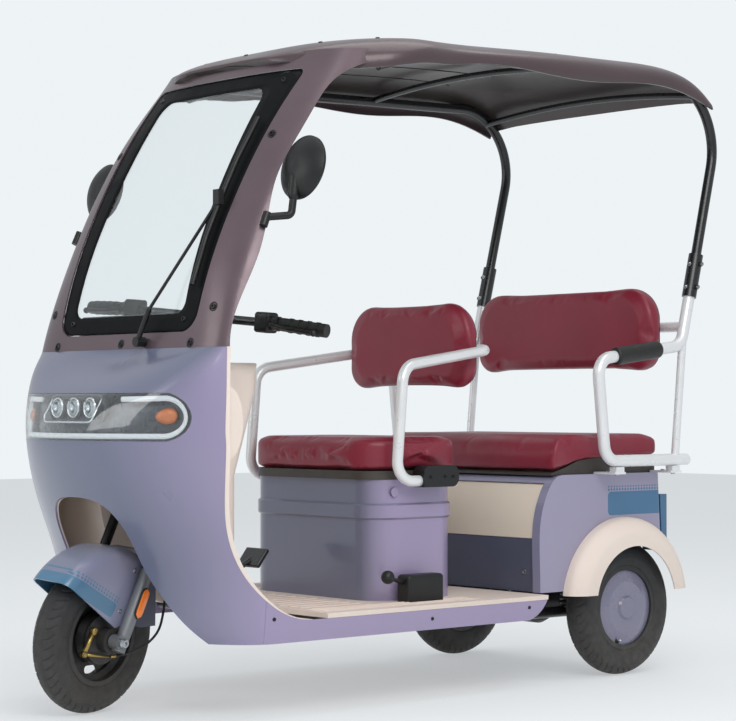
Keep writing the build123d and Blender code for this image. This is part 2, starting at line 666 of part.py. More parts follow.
def driver_seat_base():
    """The lid under the driver's cushion, a shallow tray."""
    x = (DRIVER_CUSHION_REAR + 8, DRIVER_CUSHION_FRONT - 8)
    height = (DRIVER_BOX_TOP + SEAM, DRIVER_BOX_TOP + SEAT_BASE)
    return plan_slab(x, DRIVER_CUSHION_HALF_WIDTH - 8, height, 84)


def driver_cushion():
    """The driver's cushion."""
    slab = plan_slab((DRIVER_CUSHION_REAR, DRIVER_CUSHION_FRONT), DRIVER_CUSHION_HALF_WIDTH,
                     (DRIVER_BOX_TOP + SEAT_BASE + SEAM, DRIVER_CUSHION_TOP), 92)
    return soften(slab, 18, 6)


def driver_backrest():
    """The driver's padded backrest, carried in front of the arm frame's cross run."""
    rear = ARM_CROSS_X + ARM_TUBE / 2 + BACKREST_GAP
    pad = block((rear, rear + 62), (-242, 242), (780, 1004))
    pad = fillet(pad.edges().filter_by(Axis.X).sort_by(Axis.Z)[:2], BACKREST_LOW_CORNER)
    pad = fillet(pad.edges().filter_by(Axis.X).sort_by(Axis.Z)[-2:], BACKREST_HIGH_CORNER)
    pad = fillet(pad.faces().sort_by(Axis.X)[-1].edges(), 20)
    return fillet(pad.faces().sort_by(Axis.X)[0].edges(), 26)


def driver_arm_frame():
    """One bent tube: armrests at each side, joined behind the backrest."""
    side = [(712, ARM_Y, 542), (790, ARM_Y, 542), (765, ARM_Y, 832), (ARM_CROSS_X, 256, 880)]
    other = [(x, -y, z) for x, y, z in reversed(side)]
    return tube(side + other, 50, ARM_TUBE)


def arm_brackets():
    """Covers at the sides of the driver's box that hold the arm frame's ends."""
    cover = block((592, 712), (ARM_Y - 22, ARM_Y + 20), (526, 580))
    cover = fillet(cover.edges().filter_by(Axis.Y).sort_by(Axis.X)[:2], 22)
    cover = chamfer(cover.edges().filter_by(Axis.Y).sort_by(Axis.X)[-1:], 12)
    foot = block((602, 700), (DRIVER_BOX_HALF_WIDTH + SEAM, ARM_Y - 10), (528, DRIVER_BOX_TOP - 1))
    left = cover + foot
    return left + mirror(left, about=Plane.XZ)


def hand_brake():
    """The parking brake: its housing on the footboard, a rod and a knob."""
    y = 300
    housing = block((648, 771), (y - 24, y + 24), (FLOOR_TOP, 308))
    housing = fillet(housing.edges().filter_by(lambda e: e.center().Z > FLOOR_TOP + 1), 10)
    rod = round_bar((760, y, 285), (826, y + 14, 304), 10)
    knob = Pos(834, y + 16, 306) * Sphere(17)
    return housing + rod + knob


def brake_pedal():
    """The foot brake: a pad on a bent arm from the footboard."""
    arm = tube([(1080, -50, FLOOR_TOP + 6), (1052, -50, 300), (976, -50, 338)], 30, 14)
    pad = Pos(972, -50, 342) * Rot(0, -38, 0) * Box(12, 86, 56)
    foot = block((1062, 1096), (-76, -24), (FLOOR_TOP + 2, FLOOR_TOP + 8))
    return arm + fillet(pad.edges(), 4) + foot


def bench_profile(inset):
    """Side view of the rear body: leaning front, rounded brow, level top, upright tail."""
    front = Spline((BENCH_FRONT - inset, 240), (BENCH_FRONT - 19 - inset, 484),
                   (284 - inset, 528 - inset / 2),
                   (234, BENCH_TOP - inset), tangents=((-0.01, 1), (-1, 0)))
    tail = Polyline(front @ 1, (BENCH_REAR + 13 + inset, BENCH_TOP - inset), (BENCH_REAR + inset, 300),
                    (BENCH_REAR + inset, 240), front @ 0)
    return [front, tail]


def wheel_well(radius, y_from):
    """The round wells over the rear wheels, open to the outside."""
    wells = [Pos(WELL_X, side * (y_from + 200), WELL_Z) * Rot(90, 0, 0) * Cylinder(radius, 400)
             for side in (1, -1)]
    return wells[0] + wells[1]


def rear_body():
    """The rear tub: a storage bin on the rails, with wells for the wheels."""
    outer = side_plate(bench_profile(0), BENCH_HALF_WIDTH)
    outer = fillet(outer.edges().filter_by(Axis.Z) + outer.edges().filter_by(
        lambda e: e.center().X < BENCH_REAR + 20 and abs(abs(e.center().Y) - BENCH_HALF_WIDTH) < 1
        and e.center().Z > 260), 16)
    outer -= wheel_well(WELL_RADIUS, WELL_DEPTH_Y)
    inner = side_plate(bench_profile(PANEL), BENCH_HALF_WIDTH - PANEL)
    inner -= wheel_well(WELL_RADIUS + PANEL, WELL_DEPTH_Y - PANEL)
    bin_room = inner & block((-300, 400), (-400, 400), (BIN_FLOOR, 600))
    under = inner & block((-300, 400), (-400, 400), (200, BIN_FLOOR - PANEL))
    mouth = plan_slab((BENCH_REAR + 60, 225), BENCH_HALF_WIDTH - 90, (BENCH_TOP - 20, BENCH_TOP + 20), 40)
    front = side_plate(bench_profile(0), PANEL_HALF_WIDTH)
    recess = front - front.moved(
        Location((-PANEL_RECESS, 0, 0)))
    recess &= block((250, 400), (-400, 400), (240, 526))
    backing = side_plate(bench_profile(0), PANEL_HALF_WIDTH + PANEL).moved(Location((-PANEL_RECESS, 0, 0)))
    behind = side_plate(bench_profile(0), PANEL_HALF_WIDTH + PANEL)
    backing -= behind.moved(Location((-PANEL_RECESS - PANEL, 0, 0)))
    backing &= block((240, 400), (-400, 400), (240, 526))
    tub = outer - bin_room - under - mouth - recess
    return tub + (backing & outer)


def front_panel(z_low, z_high):
    """A slab of the panel that fills the recess in the rear body's front."""
    face = side_plate(bench_profile(0), PANEL_HALF_WIDTH - 1)
    outer = face.moved(Location((-PANEL_RECESS + SEAM + 6, 0, 0)))
    slab = outer - face.moved(Location((-PANEL_RECESS + SEAM, 0, 0)))
    return slab & block((240, 400), (-400, 400), (z_low, z_high))


def under_seat_panel():
    """The cream upper panel below the bench."""
    panel = front_panel(382, 524)
    return panel + round_bar((297, -170, 500), (308, -170, 500), 22)


def lower_panel():
    """The dark lower panel, down to the footboard."""
    return front_panel(242, 380)


def rear_fenders():
    """Bulged mudguards outside the rear wells, cut level near the ground."""
    wall = 4.0
    crown = Spline((WELL_RADIUS, BENCH_HALF_WIDTH + SEAM), (WELL_RADIUS - 4, 376), (WELL_RADIUS - 30, 399),
                   (FENDER_LIP, 405), tangents=((0, 1), (-1, 0.02)))
    inner = Spline((FENDER_LIP, 405 - wall), (WELL_RADIUS - 31, 399 - wall), (WELL_RADIUS - 4 - wall, 374),
                   (WELL_RADIUS - wall, BENCH_HALF_WIDTH + SEAM), tangents=((1, -0.02), (0, -1)))
    section = make_face([crown, Line(crown @ 1, inner @ 0), inner, Line(inner @ 1, crown @ 0)])
    guard = Pos(WELL_X, 0, WELL_Z) * revolve(section, axis=Axis.Y)
    guard -= block((-400, 400), (300, 500), (-100, 228))
    return guard + mirror(guard, about=Plane.XZ)


def tail_lamps():
    """Upright lamps at the rear corners of the tub."""
    lamp = block((BENCH_REAR - 24, BENCH_REAR + 30), (274, 346), (330, 487))
    lamp = fillet(lamp.edges().filter_by(lambda e: e.center().X < BENCH_REAR - 5), 9)
    lamp -= side_plate(bench_profile(-SEAM), 400)
    return lamp + mirror(lamp, about=Plane.XZ)


def bench_underside(drop):
    """The stepped line where the bench cushion rests on its lid, lowered by drop."""
    points = [(BENCH_CUSHION_FRONT, 553), (225, 566), (172, 585), (67, 595), (BENCH_LID_REAR, 596)]
    return [(x, z - drop) for x, z in points]


def bench_base():
    """The lid that carries the bench cushion, stepped up towards the rear."""
    top = bench_underside(SEAM)
    front, rear = (BENCH_CUSHION_FRONT - 4, top[0][1]), (BENCH_LID_REAR + 6, top[-1][1])
    outline = Polyline(front, *top[1:-1], rear, (rear[0], BENCH_TOP + SEAM), (246, BENCH_TOP + SEAM),
                       (front[0], 546), close=True)
    return side_plate(outline, BENCH_HALF_WIDTH - BENCH_LID_MARGIN)


def bench_cushion():
    """The bench cushion, thick at the front and thinner over the raised lid."""
    outline = Polyline(*bench_underside(0), (BENCH_LID_REAR, 646), (-90, BENCH_CUSHION_TOP),
                       (208, BENCH_CUSHION_TOP), (264, 638), (BENCH_CUSHION_FRONT, 600), close=True)
    slab = side_plate(outline, BENCH_HALF_WIDTH)
    sides = slab.edges().filter_by(lambda e: abs(abs(e.center().Y) - BENCH_HALF_WIDTH) < 1)
    rim = sides.filter_by(lambda e: e.center().Z > 620)
    return fillet(rim, 12)


def rear_backrest():
    """The bench's padded backrest."""
    rear = BACK_BAR_X + ARM_TUBE / 2 + SEAM
    pad = block((rear, rear + 68), (-348, 348), (830, 1060))
    pad = fillet(pad.edges().filter_by(Axis.X).sort_by(Axis.Z)[:2], BACKREST_LOW_CORNER)
    pad = fillet(pad.edges().filter_by(Axis.X).sort_by(Axis.Z)[-2:], BACKREST_HIGH_CORNER)
    return fillet(pad.edges().filter_by(lambda e: abs(e.center().X - rear) < 1
                                        or abs(e.center().X - rear - 68) < 1), 18)


# ---------------------------------------------------------------- side frames and canopy
def post_x(height):
    """X of the leaning rear post at a height."""
    return -199 - 0.258 * (height - 1032)


def side_frame():
    """The left rear loop: armrest, front leg, rail along the tub with its plugged tail, and a strut."""
    loop = tube([(post_x(SLEEVE_SPLIT), POST_Y, SLEEVE_SPLIT), (post_x(897), POST_Y, 897), (172, POST_Y, 855),
                 (142, POST_Y, SIDE_RAIL_Z), (TAIL_END_X + TAIL_LENGTH, POST_Y, SIDE_RAIL_Z)], 48, SIDE_TUBE)
    strut = round_bar((-138, POST_Y, SIDE_RAIL_Z), (post_x(935), POST_Y, 935), SIDE_TUBE - 10)
    tail = round_bar((TAIL_END_X + TAIL_LENGTH, POST_Y, SIDE_RAIL_Z), (TAIL_END_X, POST_Y, SIDE_RAIL_Z),
                     TAIL_DIAMETER)
    return loop + strut + tail


def frame_brackets():
    """Flat brackets from the tub's rim out to the rails of the side frames."""
    low = SIDE_RAIL_Z - SIDE_TUBE / 2 - SEAM
    pieces = []
    for x in (-130, 96):
        arm = block((x - 22, x + 22), (BENCH_HALF_WIDTH - 6, POST_Y + 12), (BENCH_TOP + SEAM, BENCH_TOP + 6))
        saddle = block((x - 16, x + 16), (POST_Y - 12, POST_Y + 12), (BENCH_TOP + 5, low))
        pieces.append(arm + saddle)
    left = pieces[0] + pieces[1]
    return left + mirror(left, about=Plane.XZ)


def arm_pads():
    """Soft sleeves round the armrest runs of the side frames."""
    run = Vector(172 - post_x(897), 0, 855 - 897)
    start = Vector(post_x(897), POST_Y, 897) + run * 0.28
    end = Vector(post_x(897), POST_Y, 897) + run * 0.80
    pad = round_bar(start, end, 48)
    pad = fillet(pad.edges(), 8) - round_bar(start - run * 0.05, end + run * 0.05, SIDE_TUBE + 2 * SEAM)
    return pad + mirror(pad, about=Plane.XZ)


def backrest_bar():
    """The bar across the rear that joins the loops and carries the backrest."""
    bar = round_bar((BACK_BAR_X, -POST_Y, 950), (BACK_BAR_X, POST_Y, 950), ARM_TUBE)
    for y in (POST_Y, -POST_Y):
        bar -= round_bar((post_x(900), y, 900), (post_x(1000), y, 1000), SIDE_TUBE)
        bar -= block((-400, 0), (y + 4, y + 40) if y > 0 else (y - 40, y - 4), (900, 1000))
    return bar.solids().sort_by(SortBy.VOLUME)[-1]


def canopy_tubes(diameter):
    """The two rear posts that bend forward into the roof's side rails."""
    start = (post_x(SLEEVE_SPLIT + 1), POST_Y, SLEEVE_SPLIT + 1)
    rail = tube([start, (post_x(RAIL_REAR_Z), POST_Y, RAIL_REAR_Z), (800, POST_Y, RAIL_FRONT_Z),
                 (930, POST_Y - 22, 1563)], CANOPY_BEND, diameter)
    return rail + mirror(rail, about=Plane.XZ)


def canopy_frame():
    """The canopy's bent tubes."""
    return canopy_tubes(CANOPY_TUBE)


def canopy_sleeves():
    """Clamping sleeves where the posts plug into the side frames."""
    low, high = 1032, 1151
    ends = [(post_x(z), POST_Y, z) for z in (low, SLEEVE_SPLIT, high)]
    sleeve = round_bar(ends[0], ends[2], SLEEVE_TUBE + 2)
    sleeve -= round_bar((post_x(low - 20), POST_Y, low - 20), ends[1], SIDE_TUBE + 2 * SEAM)
    sleeve -= round_bar(ends[1], (post_x(high + 20), POST_Y, high + 20), CANOPY_TUBE + 2 * SEAM)
    for z in (1060, 1124):
        sleeve += round_bar((post_x(z), POST_Y + SLEEVE_TUBE / 2 - 2, z),
                            (post_x(z), POST_Y + SLEEVE_TUBE / 2 + 7, z), 14)
    return sleeve + mirror(sleeve, about=Plane.XZ)


ROOF_STATIONS = (
    (1104, 170, 1581, 1592),
    (1085, 240, 1573, 1603),
    (1045, 305, 1562, 1619),
    (990, 375, 1552, 1635),
    (910, 432, 1560, 1648),
    (760, 445, 1577, 1660),
    (400, 445, 1590, 1672),
    (50, 445, 1600, 1682),
    (-110, 445, 1596, 1680),
    (-200, 445, 1576, 1656),
    (-262, 445, 1556, 1592),
)


def roof_section(x, half_width, edge, crown, inset, drop):
    """A cross-section of the roof: a flat-topped arch closed along its lower edge."""
    half = half_width - inset
    rise = crown - inset - edge
    points = [(x, half, edge)]
    for angle in (75, 58, 42, 28, 14, 0, -14, -28, -42, -58, -75):
        up = cos(radians(angle)) ** ROOF_SQUARENESS
        across = abs(sin(radians(angle))) ** ROOF_SQUARENESS * (1 if angle > 0 else -1)
        points.append((x, half * across, edge + rise * up))
    points.append((x, -half, edge))
    arch = Spline(*points)
    return make_face([arch, Polyline(arch @ 1, (x, -half, edge - drop), (x, half, edge - drop), arch @ 0)])


def roof_solid(inset, drop):
    """The roof as one closed loft from the front lip to the rear lip."""
    return loft([roof_section(x, half, edge, crown, inset, drop)
                 for x, half, edge, crown in ROOF_STATIONS])


def roof():
    """The canopy: a thin moulded roof with turned-down edges, notched round the posts."""
    return roof_solid(0, 1) - roof_solid(ROOF_WALL, 6) - canopy_tubes(CANOPY_TUBE + 2 * SEAM)


def roof_bars():
    """Arched bars that tie the two side rails together under the roof."""
    bars = []
    for x, z in ((-214, 1592), (250, 1622), (700, 1606)):
        bar = ThreePointArc((x, -POST_Y, z), (x, 0, z + 26), (x, POST_Y, z))
        bars.append(sweep(Plane(origin=bar @ 0, z_dir=bar % 0) * Circle(9), path=bar))
    return bars[0] + bars[1] + bars[2] - canopy_frame()


def mirror_left():
    """The left mirror: foot on the pillar, thick elbowed arm, boss and a domed round head."""
    foot_radius = 10
    foot_low = (1290, frame_flank(1150, 1290) + foot_radius + 4.2, 1150)
    foot_high = (1276, frame_flank(1182, 1276) + foot_radius + 4.4, 1182)
    base = (1276, frame_flank(1176, 1276) + foot_radius + 4, 1172)
    head = Vector(1187, 411, 1293)
    arm = tube([base, (1220, 411, 1178), (1211, 411, 1240)], 14, 18)
    foot = round_bar(foot_low, foot_high, 2 * foot_radius)
    boss = round_bar((1213, 411, 1226), (1208, 411, 1268), 28) + Pos(1213, 411, 1226) * Sphere(14)
    boss += Pos(1208, 411, 1268) * Sphere(14)
    dome = revolve(make_face([ThreePointArc((0, 26), (52, 18), (78, 0)), Line((78, 0), (78, -6)),
                              Line((78, -6), (0, -6)), Line((0, -6), (0, 26))]), axis=Axis.Y)
    return arm + foot + boss + Pos(*head) * Rot(0, -MIRROR_TILT, 0) * Rot(0, 0, -90) * dome


# ---------------------------------------------------------------- controls
def bar_end(share):
    """A point on the straight left end of the bar; 0 at the bend, 1 at the tip."""
    centre = on_rake(AXIS_AT_AXLE, BAR_HEIGHT) + BAR_AHEAD_OF_AXIS
    bend = Vector(centre - 8, 250, BAR_HEIGHT)
    tip = Vector(centre - 26, BAR_HALF_SPAN, BAR_HEIGHT - 6)
    return bend + (tip - bend) * share


def grips():
    """Ribbed rubber grips, seated round the ends of the bar."""
    run = BAR_HALF_SPAN - 250
    start, end = bar_end(1 - GRIP_LENGTH / run + 0.02), bar_end(1.03)
    grip = round_bar(start, end, GRIP_DIAMETER)
    for share in (0.2, 0.4, 0.6, 0.8):
        at = start + (end - start) * share
        grip += round_bar(at - (end - start) * 0.03, at + (end - start) * 0.03, GRIP_DIAMETER + 3)
    grip -= round_bar(bar_end(-0.5), bar_end(1), BAR_DIAMETER + 2 * RUN_FIT)
    return turned(grip + mirror(grip, about=Plane.XZ))


def bar_controls():
    """On each side a switch housing and, in front of the grip, a brake lever."""
    at = bar_end(-0.12)
    pod = fillet((Pos(at.X, at.Y - 22, at.Z) * Box(44, 46, 50)).edges(), 8)
    pivot = bar_end(-0.05) + Vector(26, 0, -2)
    tip = bar_end(0.92) + Vector(33, 0, -8)
    blade = tube([pivot, pivot + (tip - pivot) * 0.45 + Vector(2, 0, -2), tip], 60, 10)
    ball = Pos(*tip) * Sphere(8)
    clamp = round_bar(bar_end(-0.14), bar_end(0.02), BAR_DIAMETER + 14)
    perch = round_bar(bar_end(-0.05) + Vector(8, 0, 0), pivot, 16)
    control = pod + clamp + perch + blade + ball
    control -= bar_tube(BAR_DIAMETER + 2 * RUN_FIT)
    return turned(control + mirror(control, about=Plane.XZ))


def brake_plate():
    """The drum's back plate on the fork side, with its cam arm."""
    bore = FRONT_AXLE_DIAMETER / 2 + SEAM
    inner_y = FORK_SPACING / 2 - FORK_LEG_DIAMETER / 2 - SEAM
    outline = Polyline((bore, 31), (61, 31), (61, 36), (30, 39), (30, inner_y), (bore, inner_y), close=True)
    plate = revolve(make_face(outline), axis=Axis.Y)
    plate = Pos(*FRONT_AXLE) * plate
    pivot = Vector(WHEELBASE + 44, 43, AXLE_HEIGHT + 24)
    eye = pivot + Vector(30, 1, -52)
    cam = round_bar((pivot.X, 31.5, pivot.Z), (pivot.X, 49, pivot.Z), 17)
    arm = round_bar(pivot, eye, 10) + round_bar(eye - Vector(0, 5, 0), eye + Vector(0, 7, 0), 14)
    rod = round_bar(eye + Vector(0, 2, 0), (WHEELBASE - 6, 52, AXLE_HEIGHT - 41), 6)
    return plate + cam + arm + rod


# ---------------------------------------------------------------- the vehicle
def wheel_places():
    """Node name endings and a placing function for the two rear wheels."""
    left = Pos(0, TRACK / 2, AXLE_HEIGHT)
    return {"left": lambda piece: left * piece,
            "right": lambda piece: mirror(left * piece, about=Plane.XZ)}


def on_front_axle(piece):
    """A front wheel piece on the axle, turned with the steering."""
    return turned(Pos(*FRONT_AXLE) * piece)


parts = {
    "chassis_frame": chassis_frame(),
    "rear_axle": rear_axle(),
    "rear_suspension": rear_suspension(),
    "floor_board": floor_board(),
    "side_skirts": side_skirts(),
    "front_shell": front_shell(),
    "arch_liner": arch_liner(),
    "leg_shield": leg_shield(),
    "dash_cowl": dash_cowl(),
    "headlamp_unit": headlamp_unit(),
    "headlamp_cover": headlamp_cover(),
    "windshield_frame": windshield_frame(),
    "windshield": windshield(),
    "wiper": wiper(),
    "mirror_left": mirror_left(),
    "mirror_right": mirror(mirror_left(), about=Plane.XZ),
    "brake_pedal": brake_pedal(),
    "hand_brake": hand_brake(),
    "driver_seat_box": driver_seat_box(),
    "battery_pack": battery_pack(),
    "driver_seat_base": driver_seat_base(),
    "driver_cushion": driver_cushion(),
    "arm_brackets": arm_brackets(),
    "driver_arm_frame": driver_arm_frame(),
    "driver_backrest": driver_backrest(),
    "rear_body": rear_body(),
    "under_seat_panel": under_seat_panel(),
    "lower_panel": lower_panel(),
    "rear_fenders": rear_fenders(),
    "tail_lamps": tail_lamps(),
    "bench_base": bench_base(),
    "bench_cushion": bench_cushion(),
    "side_frame_left": side_frame(),
    "side_frame_right": mirror(side_frame(), about=Plane.XZ),
    "frame_brackets": frame_brackets(),
    "arm_pads": arm_pads(),
    "backrest_bar": backrest_bar(),
    "rear_backrest": rear_backrest(),
    "canopy_sleeves": canopy_sleeves(),
    "canopy_frame": canopy_frame(),
    "roof_bars": roof_bars(),
    "roof": roof(),
    "fork": turned(fork()),
    "front_fender": turned(front_fender()),
    "rear_guard": turned(rear_guard()),
    "brake_plate": turned(brake_plate()),
    "handlebar": turned(handlebar()),
    "grips": grips(),
    "bar_controls": bar_controls(),
    "front_tyre": on_front_axle(tyre()),
    "front_rim": on_front_axle(front_rim()),
}
for side, place in wheel_places().items():
    parts["rear_tyre_" + side] = place(tyre())
    parts["rear_rim_" + side] = place(rear_rim())
    parts["hub_cap_" + side] = place(hub_cap())

os.makedirs("parts", exist_ok=True)
for name, piece in parts.items():
    export_step(Pos(DATUM_X, 0, 0) * piece, f"parts/{name}.step")
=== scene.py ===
"""Looks of a canopied leisure tricycle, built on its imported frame.

Each sub-assembly is a class that holds its sizes in millimetres, builds the
pieces that the frame lacks, and dresses the frame's own nodes.
"""
import bpy
import bmesh
import json
import logging
import math
import numpy as np
from dataclasses import dataclass, field
from enum import Enum
from typing import Optional, Sequence, Union
from mathutils import Matrix, Vector
from mathutils.bvhtree import BVHTree


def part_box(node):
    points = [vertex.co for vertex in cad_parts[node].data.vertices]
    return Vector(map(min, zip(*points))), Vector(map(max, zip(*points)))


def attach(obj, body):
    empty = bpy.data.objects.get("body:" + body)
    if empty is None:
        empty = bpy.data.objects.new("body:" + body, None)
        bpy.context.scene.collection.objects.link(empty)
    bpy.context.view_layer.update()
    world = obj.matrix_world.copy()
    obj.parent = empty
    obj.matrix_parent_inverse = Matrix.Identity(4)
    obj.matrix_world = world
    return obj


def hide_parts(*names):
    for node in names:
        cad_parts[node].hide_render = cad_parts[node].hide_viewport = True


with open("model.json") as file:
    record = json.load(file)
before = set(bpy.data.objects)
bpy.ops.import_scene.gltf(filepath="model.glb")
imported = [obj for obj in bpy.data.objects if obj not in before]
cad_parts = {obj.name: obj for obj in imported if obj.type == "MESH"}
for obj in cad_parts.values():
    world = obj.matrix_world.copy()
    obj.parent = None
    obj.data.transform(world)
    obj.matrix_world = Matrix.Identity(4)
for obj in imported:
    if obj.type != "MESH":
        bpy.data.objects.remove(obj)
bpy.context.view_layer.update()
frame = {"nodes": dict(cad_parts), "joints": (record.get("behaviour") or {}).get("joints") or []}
log = logging.getLogger("tricycle")
logging.basicConfig(level=logging.INFO, format="%(message)s")

MM = 0.001
STORED_STEER = math.radians(13.9)
STEER = next(joint for joint in frame["joints"] if joint["name"] == "steer")
STEER_POINT = Vector(STEER["pos_m"])
STEER_AXIS = Vector(STEER["axis"]).normalized()
AHEAD, UP = Vector((1, 0, 0)), Vector((0, 0, 1))
NODES = frame["nodes"]
Tree, Plug, Node = bpy.types.NodeTree, bpy.types.NodeSocket, bpy.types.Node
Mesh, Thing = bpy.types.Mesh, bpy.types.Object
Socket = Union[float, Sequence[float], Plug, Node]


# ------------------------------------------------------------------ placing
def middle(node: str) -> Vector:
    """Centre of a frame node's box, in metres."""
    low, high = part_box(node)
    return (low + high) / 2


REAR_AXLE = middle("rear_tyre_left")


def at(x: float, y: float, z: float) -> Vector:
    """A point from millimetres ahead of the rear axle, left of centre and above ground."""
    return Vector((REAR_AXLE.x + x * MM, y * MM, z * MM))


def steered(point: Vector) -> Vector:
    """A point of the front fork's straight-ahead position, turned to the stored lock."""
    turn = Matrix.Rotation(STORED_STEER, 3, STEER_AXIS)
    return STEER_POINT + turn @ (point - STEER_POINT)


def linear(code: str) -> tuple[float, float, float, float]:
    """A linear colour from an sRGB hex code."""
    parts = [int(code[i:i + 2], 16) / 255 for i in (1, 3, 5)]
    red, green, blue = (p / 12.92 if p <= 0.04045 else ((p + 0.055) / 1.055) ** 2.4 for p in parts)
    return red, green, blue, 1.0


def add(tree: Tree, kind: str, values: Optional[dict] = None, **settings: object) -> Node:
    """Adds a node with its settings and links.

    Args:
        tree: the node tree it goes in.
        kind: the node's type name.
        values: input name or index to a value, a socket, or a node whose first output is linked.
        settings: properties set before the inputs.

    Returns:
        The new node.
    """
    node = tree.nodes.new(kind)
    for name, value in settings.items():
        setattr(node, name, value)
    for name, value in (values or {}).items():
        if isinstance(value, Node):
            value = value.outputs[0]
        if isinstance(value, Plug):
            tree.links.new(value, node.inputs[name])
        else:
            node.inputs[name].default_value = value
    return node


def maths(tree: Tree, operation: str, *values: Socket) -> Plug:
    """The result of a maths node on the given values."""
    return add(tree, "ShaderNodeMath", dict(enumerate(values)), operation=operation).outputs[0]


def ramp(tree: Tree, value: Socket, *limits: Socket) -> Plug:
    """A value mapped from one range to another; limits holds the two ends of each."""
    return add(tree, "ShaderNodeMapRange", dict(enumerate((value, *limits)))).outputs[0]


def blend(tree: Tree, share: Socket, base: Socket, code: str) -> Plug:
    """A colour moved by a share towards the one that a hex code gives."""
    return add(tree, "ShaderNodeMix", {0: share, 6: base, 7: linear(code)}, data_type="RGBA").outputs[2]


def noise(tree: Tree, place: Socket, scale: float, detail: float, roughness: float = 0.5) -> Plug:
    """Cloudy noise at a place, from 0 to 1."""
    return add(tree, "ShaderNodeTexNoise", {"Vector": place, "Scale": scale, "Detail": detail,
                                            "Roughness": roughness}).outputs[0]


def part_of(tree: Tree, vector: Socket, axis: int) -> Plug:
    """One component of a vector."""
    return add(tree, "ShaderNodeSeparateXYZ", {0: vector}).outputs[axis]


# ------------------------------------------------------------------ finishes
class Grain(Enum):
    """The small relief that a finish has."""

    SMOOTH = "smooth"
    MOULDED = "spark-eroded mould texture"
    HIDE = "embossed hide"
    PEEL = "orange peel of sprayed or powder coat"
    BRUSHED = "drawn along the tube"
    CAST = "sand casting"


@dataclass(frozen=True)
class Finish:
    """A surface: colour with a slow mottle, gloss with a slow variation, and a fine relief.

    Lengths are in millimetres. A relief finer than the render shows is drawn as coarse as it needs.
    """

    name: str
    colour: str
    second: str
    roughness: float
    patch: float = 180.0
    mottle: float = 0.5
    spread: float = 0.06
    metallic: float = 0.0
    ior: float = 1.5
    coat: float = 0.0
    coat_roughness: float = 0.08
    sheen: float = 0.0
    grain: Grain = Grain.SMOOTH
    grain_size: float = 1.2
    depth: float = 0.05
    transmission: float = 0.0
    dust: float = 0.0

    def colours(self, tree: Tree, place: Plug) -> Plug:
        """The base colour: the main colour mottled towards the second.

        Args:
            tree: the material's tree.
            place: object coordinates.

        Returns:
            A colour socket.
        """
        clouds = noise(tree, place, 1000 / self.patch, 3.0, 0.55)
        spread = add(tree, "ShaderNodeMapRange", {0: clouds, 1: 0.2, 2: 0.8, 3: 0.0, 4: self.mottle},
                     interpolation_type="SMOOTHSTEP")
        mixed = blend(tree, spread, linear(self.colour), self.second)
        if not self.dust:
            return mixed
        height = part_of(tree, place, 2)
        low = ramp(tree, height, 0.0, 0.32, self.dust, 0.0)
        speck = noise(tree, place, 55.0, 6.0)
        share = maths(tree, "MULTIPLY", low, speck)
        return blend(tree, share, mixed, "#8E867B")

    def relief(self, tree: Tree, place: Plug) -> Optional[Plug]:
        """The fine relief's height, or None on a smooth finish."""
        per_metre = 1000 / self.grain_size
        if self.grain is Grain.SMOOTH:
            return None
        if self.grain is Grain.HIDE:
            cells = add(tree, "ShaderNodeTexVoronoi", {"Vector": place, "Scale": per_metre},
                        feature="DISTANCE_TO_EDGE")
            crease = ramp(tree, cells, 0.0, 0.18, 0.0, 1.0)
            pores = noise(tree, place, per_metre * 0.35, 4.0)
            return maths(tree, "MULTIPLY", crease, pores)
        if self.grain is Grain.BRUSHED:
            stretched = add(tree, "ShaderNodeMapping", {"Vector": place, "Scale": (0.15, 1.0, 0.6)})
            return noise(tree, stretched, per_metre, 2.0)
        detail = {Grain.MOULDED: 5.0, Grain.PEEL: 1.0, Grain.CAST: 8.0}[self.grain]
        return noise(tree, place, per_metre, detail, 0.6)

    def shader(self, tree: Tree, place: Plug) -> Node:
        """The principled shader with this finish's colour, gloss and relief."""
        gloss = noise(tree, place, 2600 / self.patch, 4.0)
        rough = ramp(tree, gloss, 0.3, 0.7, max(self.roughness - self.spread, 0.0), self.roughness + self.spread)
        values = {"Base Color": self.colours(tree, place), "Roughness": rough, "Metallic": self.metallic,
                  "Coat Weight": self.coat, "Coat Roughness": self.coat_roughness, "Sheen Weight": self.sheen,
                  "Transmission Weight": self.transmission}
        if not self.metallic:
            values["IOR"] = self.ior
        height = self.relief(tree, place)
        if height is not None:
            values["Normal"] = add(tree, "ShaderNodeBump", {"Height": height, "Strength": 0.7,
                                                            "Distance": self.depth * MM})
        return add(tree, "ShaderNodeBsdfPrincipled", values)

    def material(self) -> bpy.types.Material:
        """The Blender material, made once."""
        found = bpy.data.materials.get(self.name)
        if found:
            return found
        made = bpy.data.materials.new(self.name)
        made.use_nodes = True
        tree = made.node_tree
        tree.nodes.clear()
        place = add(tree, "ShaderNodeTexCoord").outputs["Object"]
        add(tree, "ShaderNodeOutputMaterial", {"Surface": self.shader(tree, place)})
        made.diffuse_color = linear(self.colour)
        return made


def inside_panel(tree: Tree, along: Socket, across: Socket, half: tuple[float, float],
                 corner: float) -> Plug:
    """A mask that is 1 inside a rounded rectangle.

    Args:
        tree: the material's tree.
        along: distance from the rectangle's middle along its length, in metres.
        across: the same across it.
        half: half its length and half its width, in metres.
        corner: the corner's radius, in metres.

    Returns:
        A value socket, 0 or 1.
    """
    over = []
    for distance, limit in ((along, half[0]), (across, half[1])):
        size = maths(tree, "ABSOLUTE", distance)
        past = maths(tree, "SUBTRACT", size, limit - corner)
        over.append(maths(tree, "MAXIMUM", past, 0.0))
    squares = [maths(tree, "POWER", o, 2.0) for o in over]
    total = maths(tree, "ADD", squares[0], squares[1])
    return maths(tree, "LESS_THAN", total, corner ** 2)


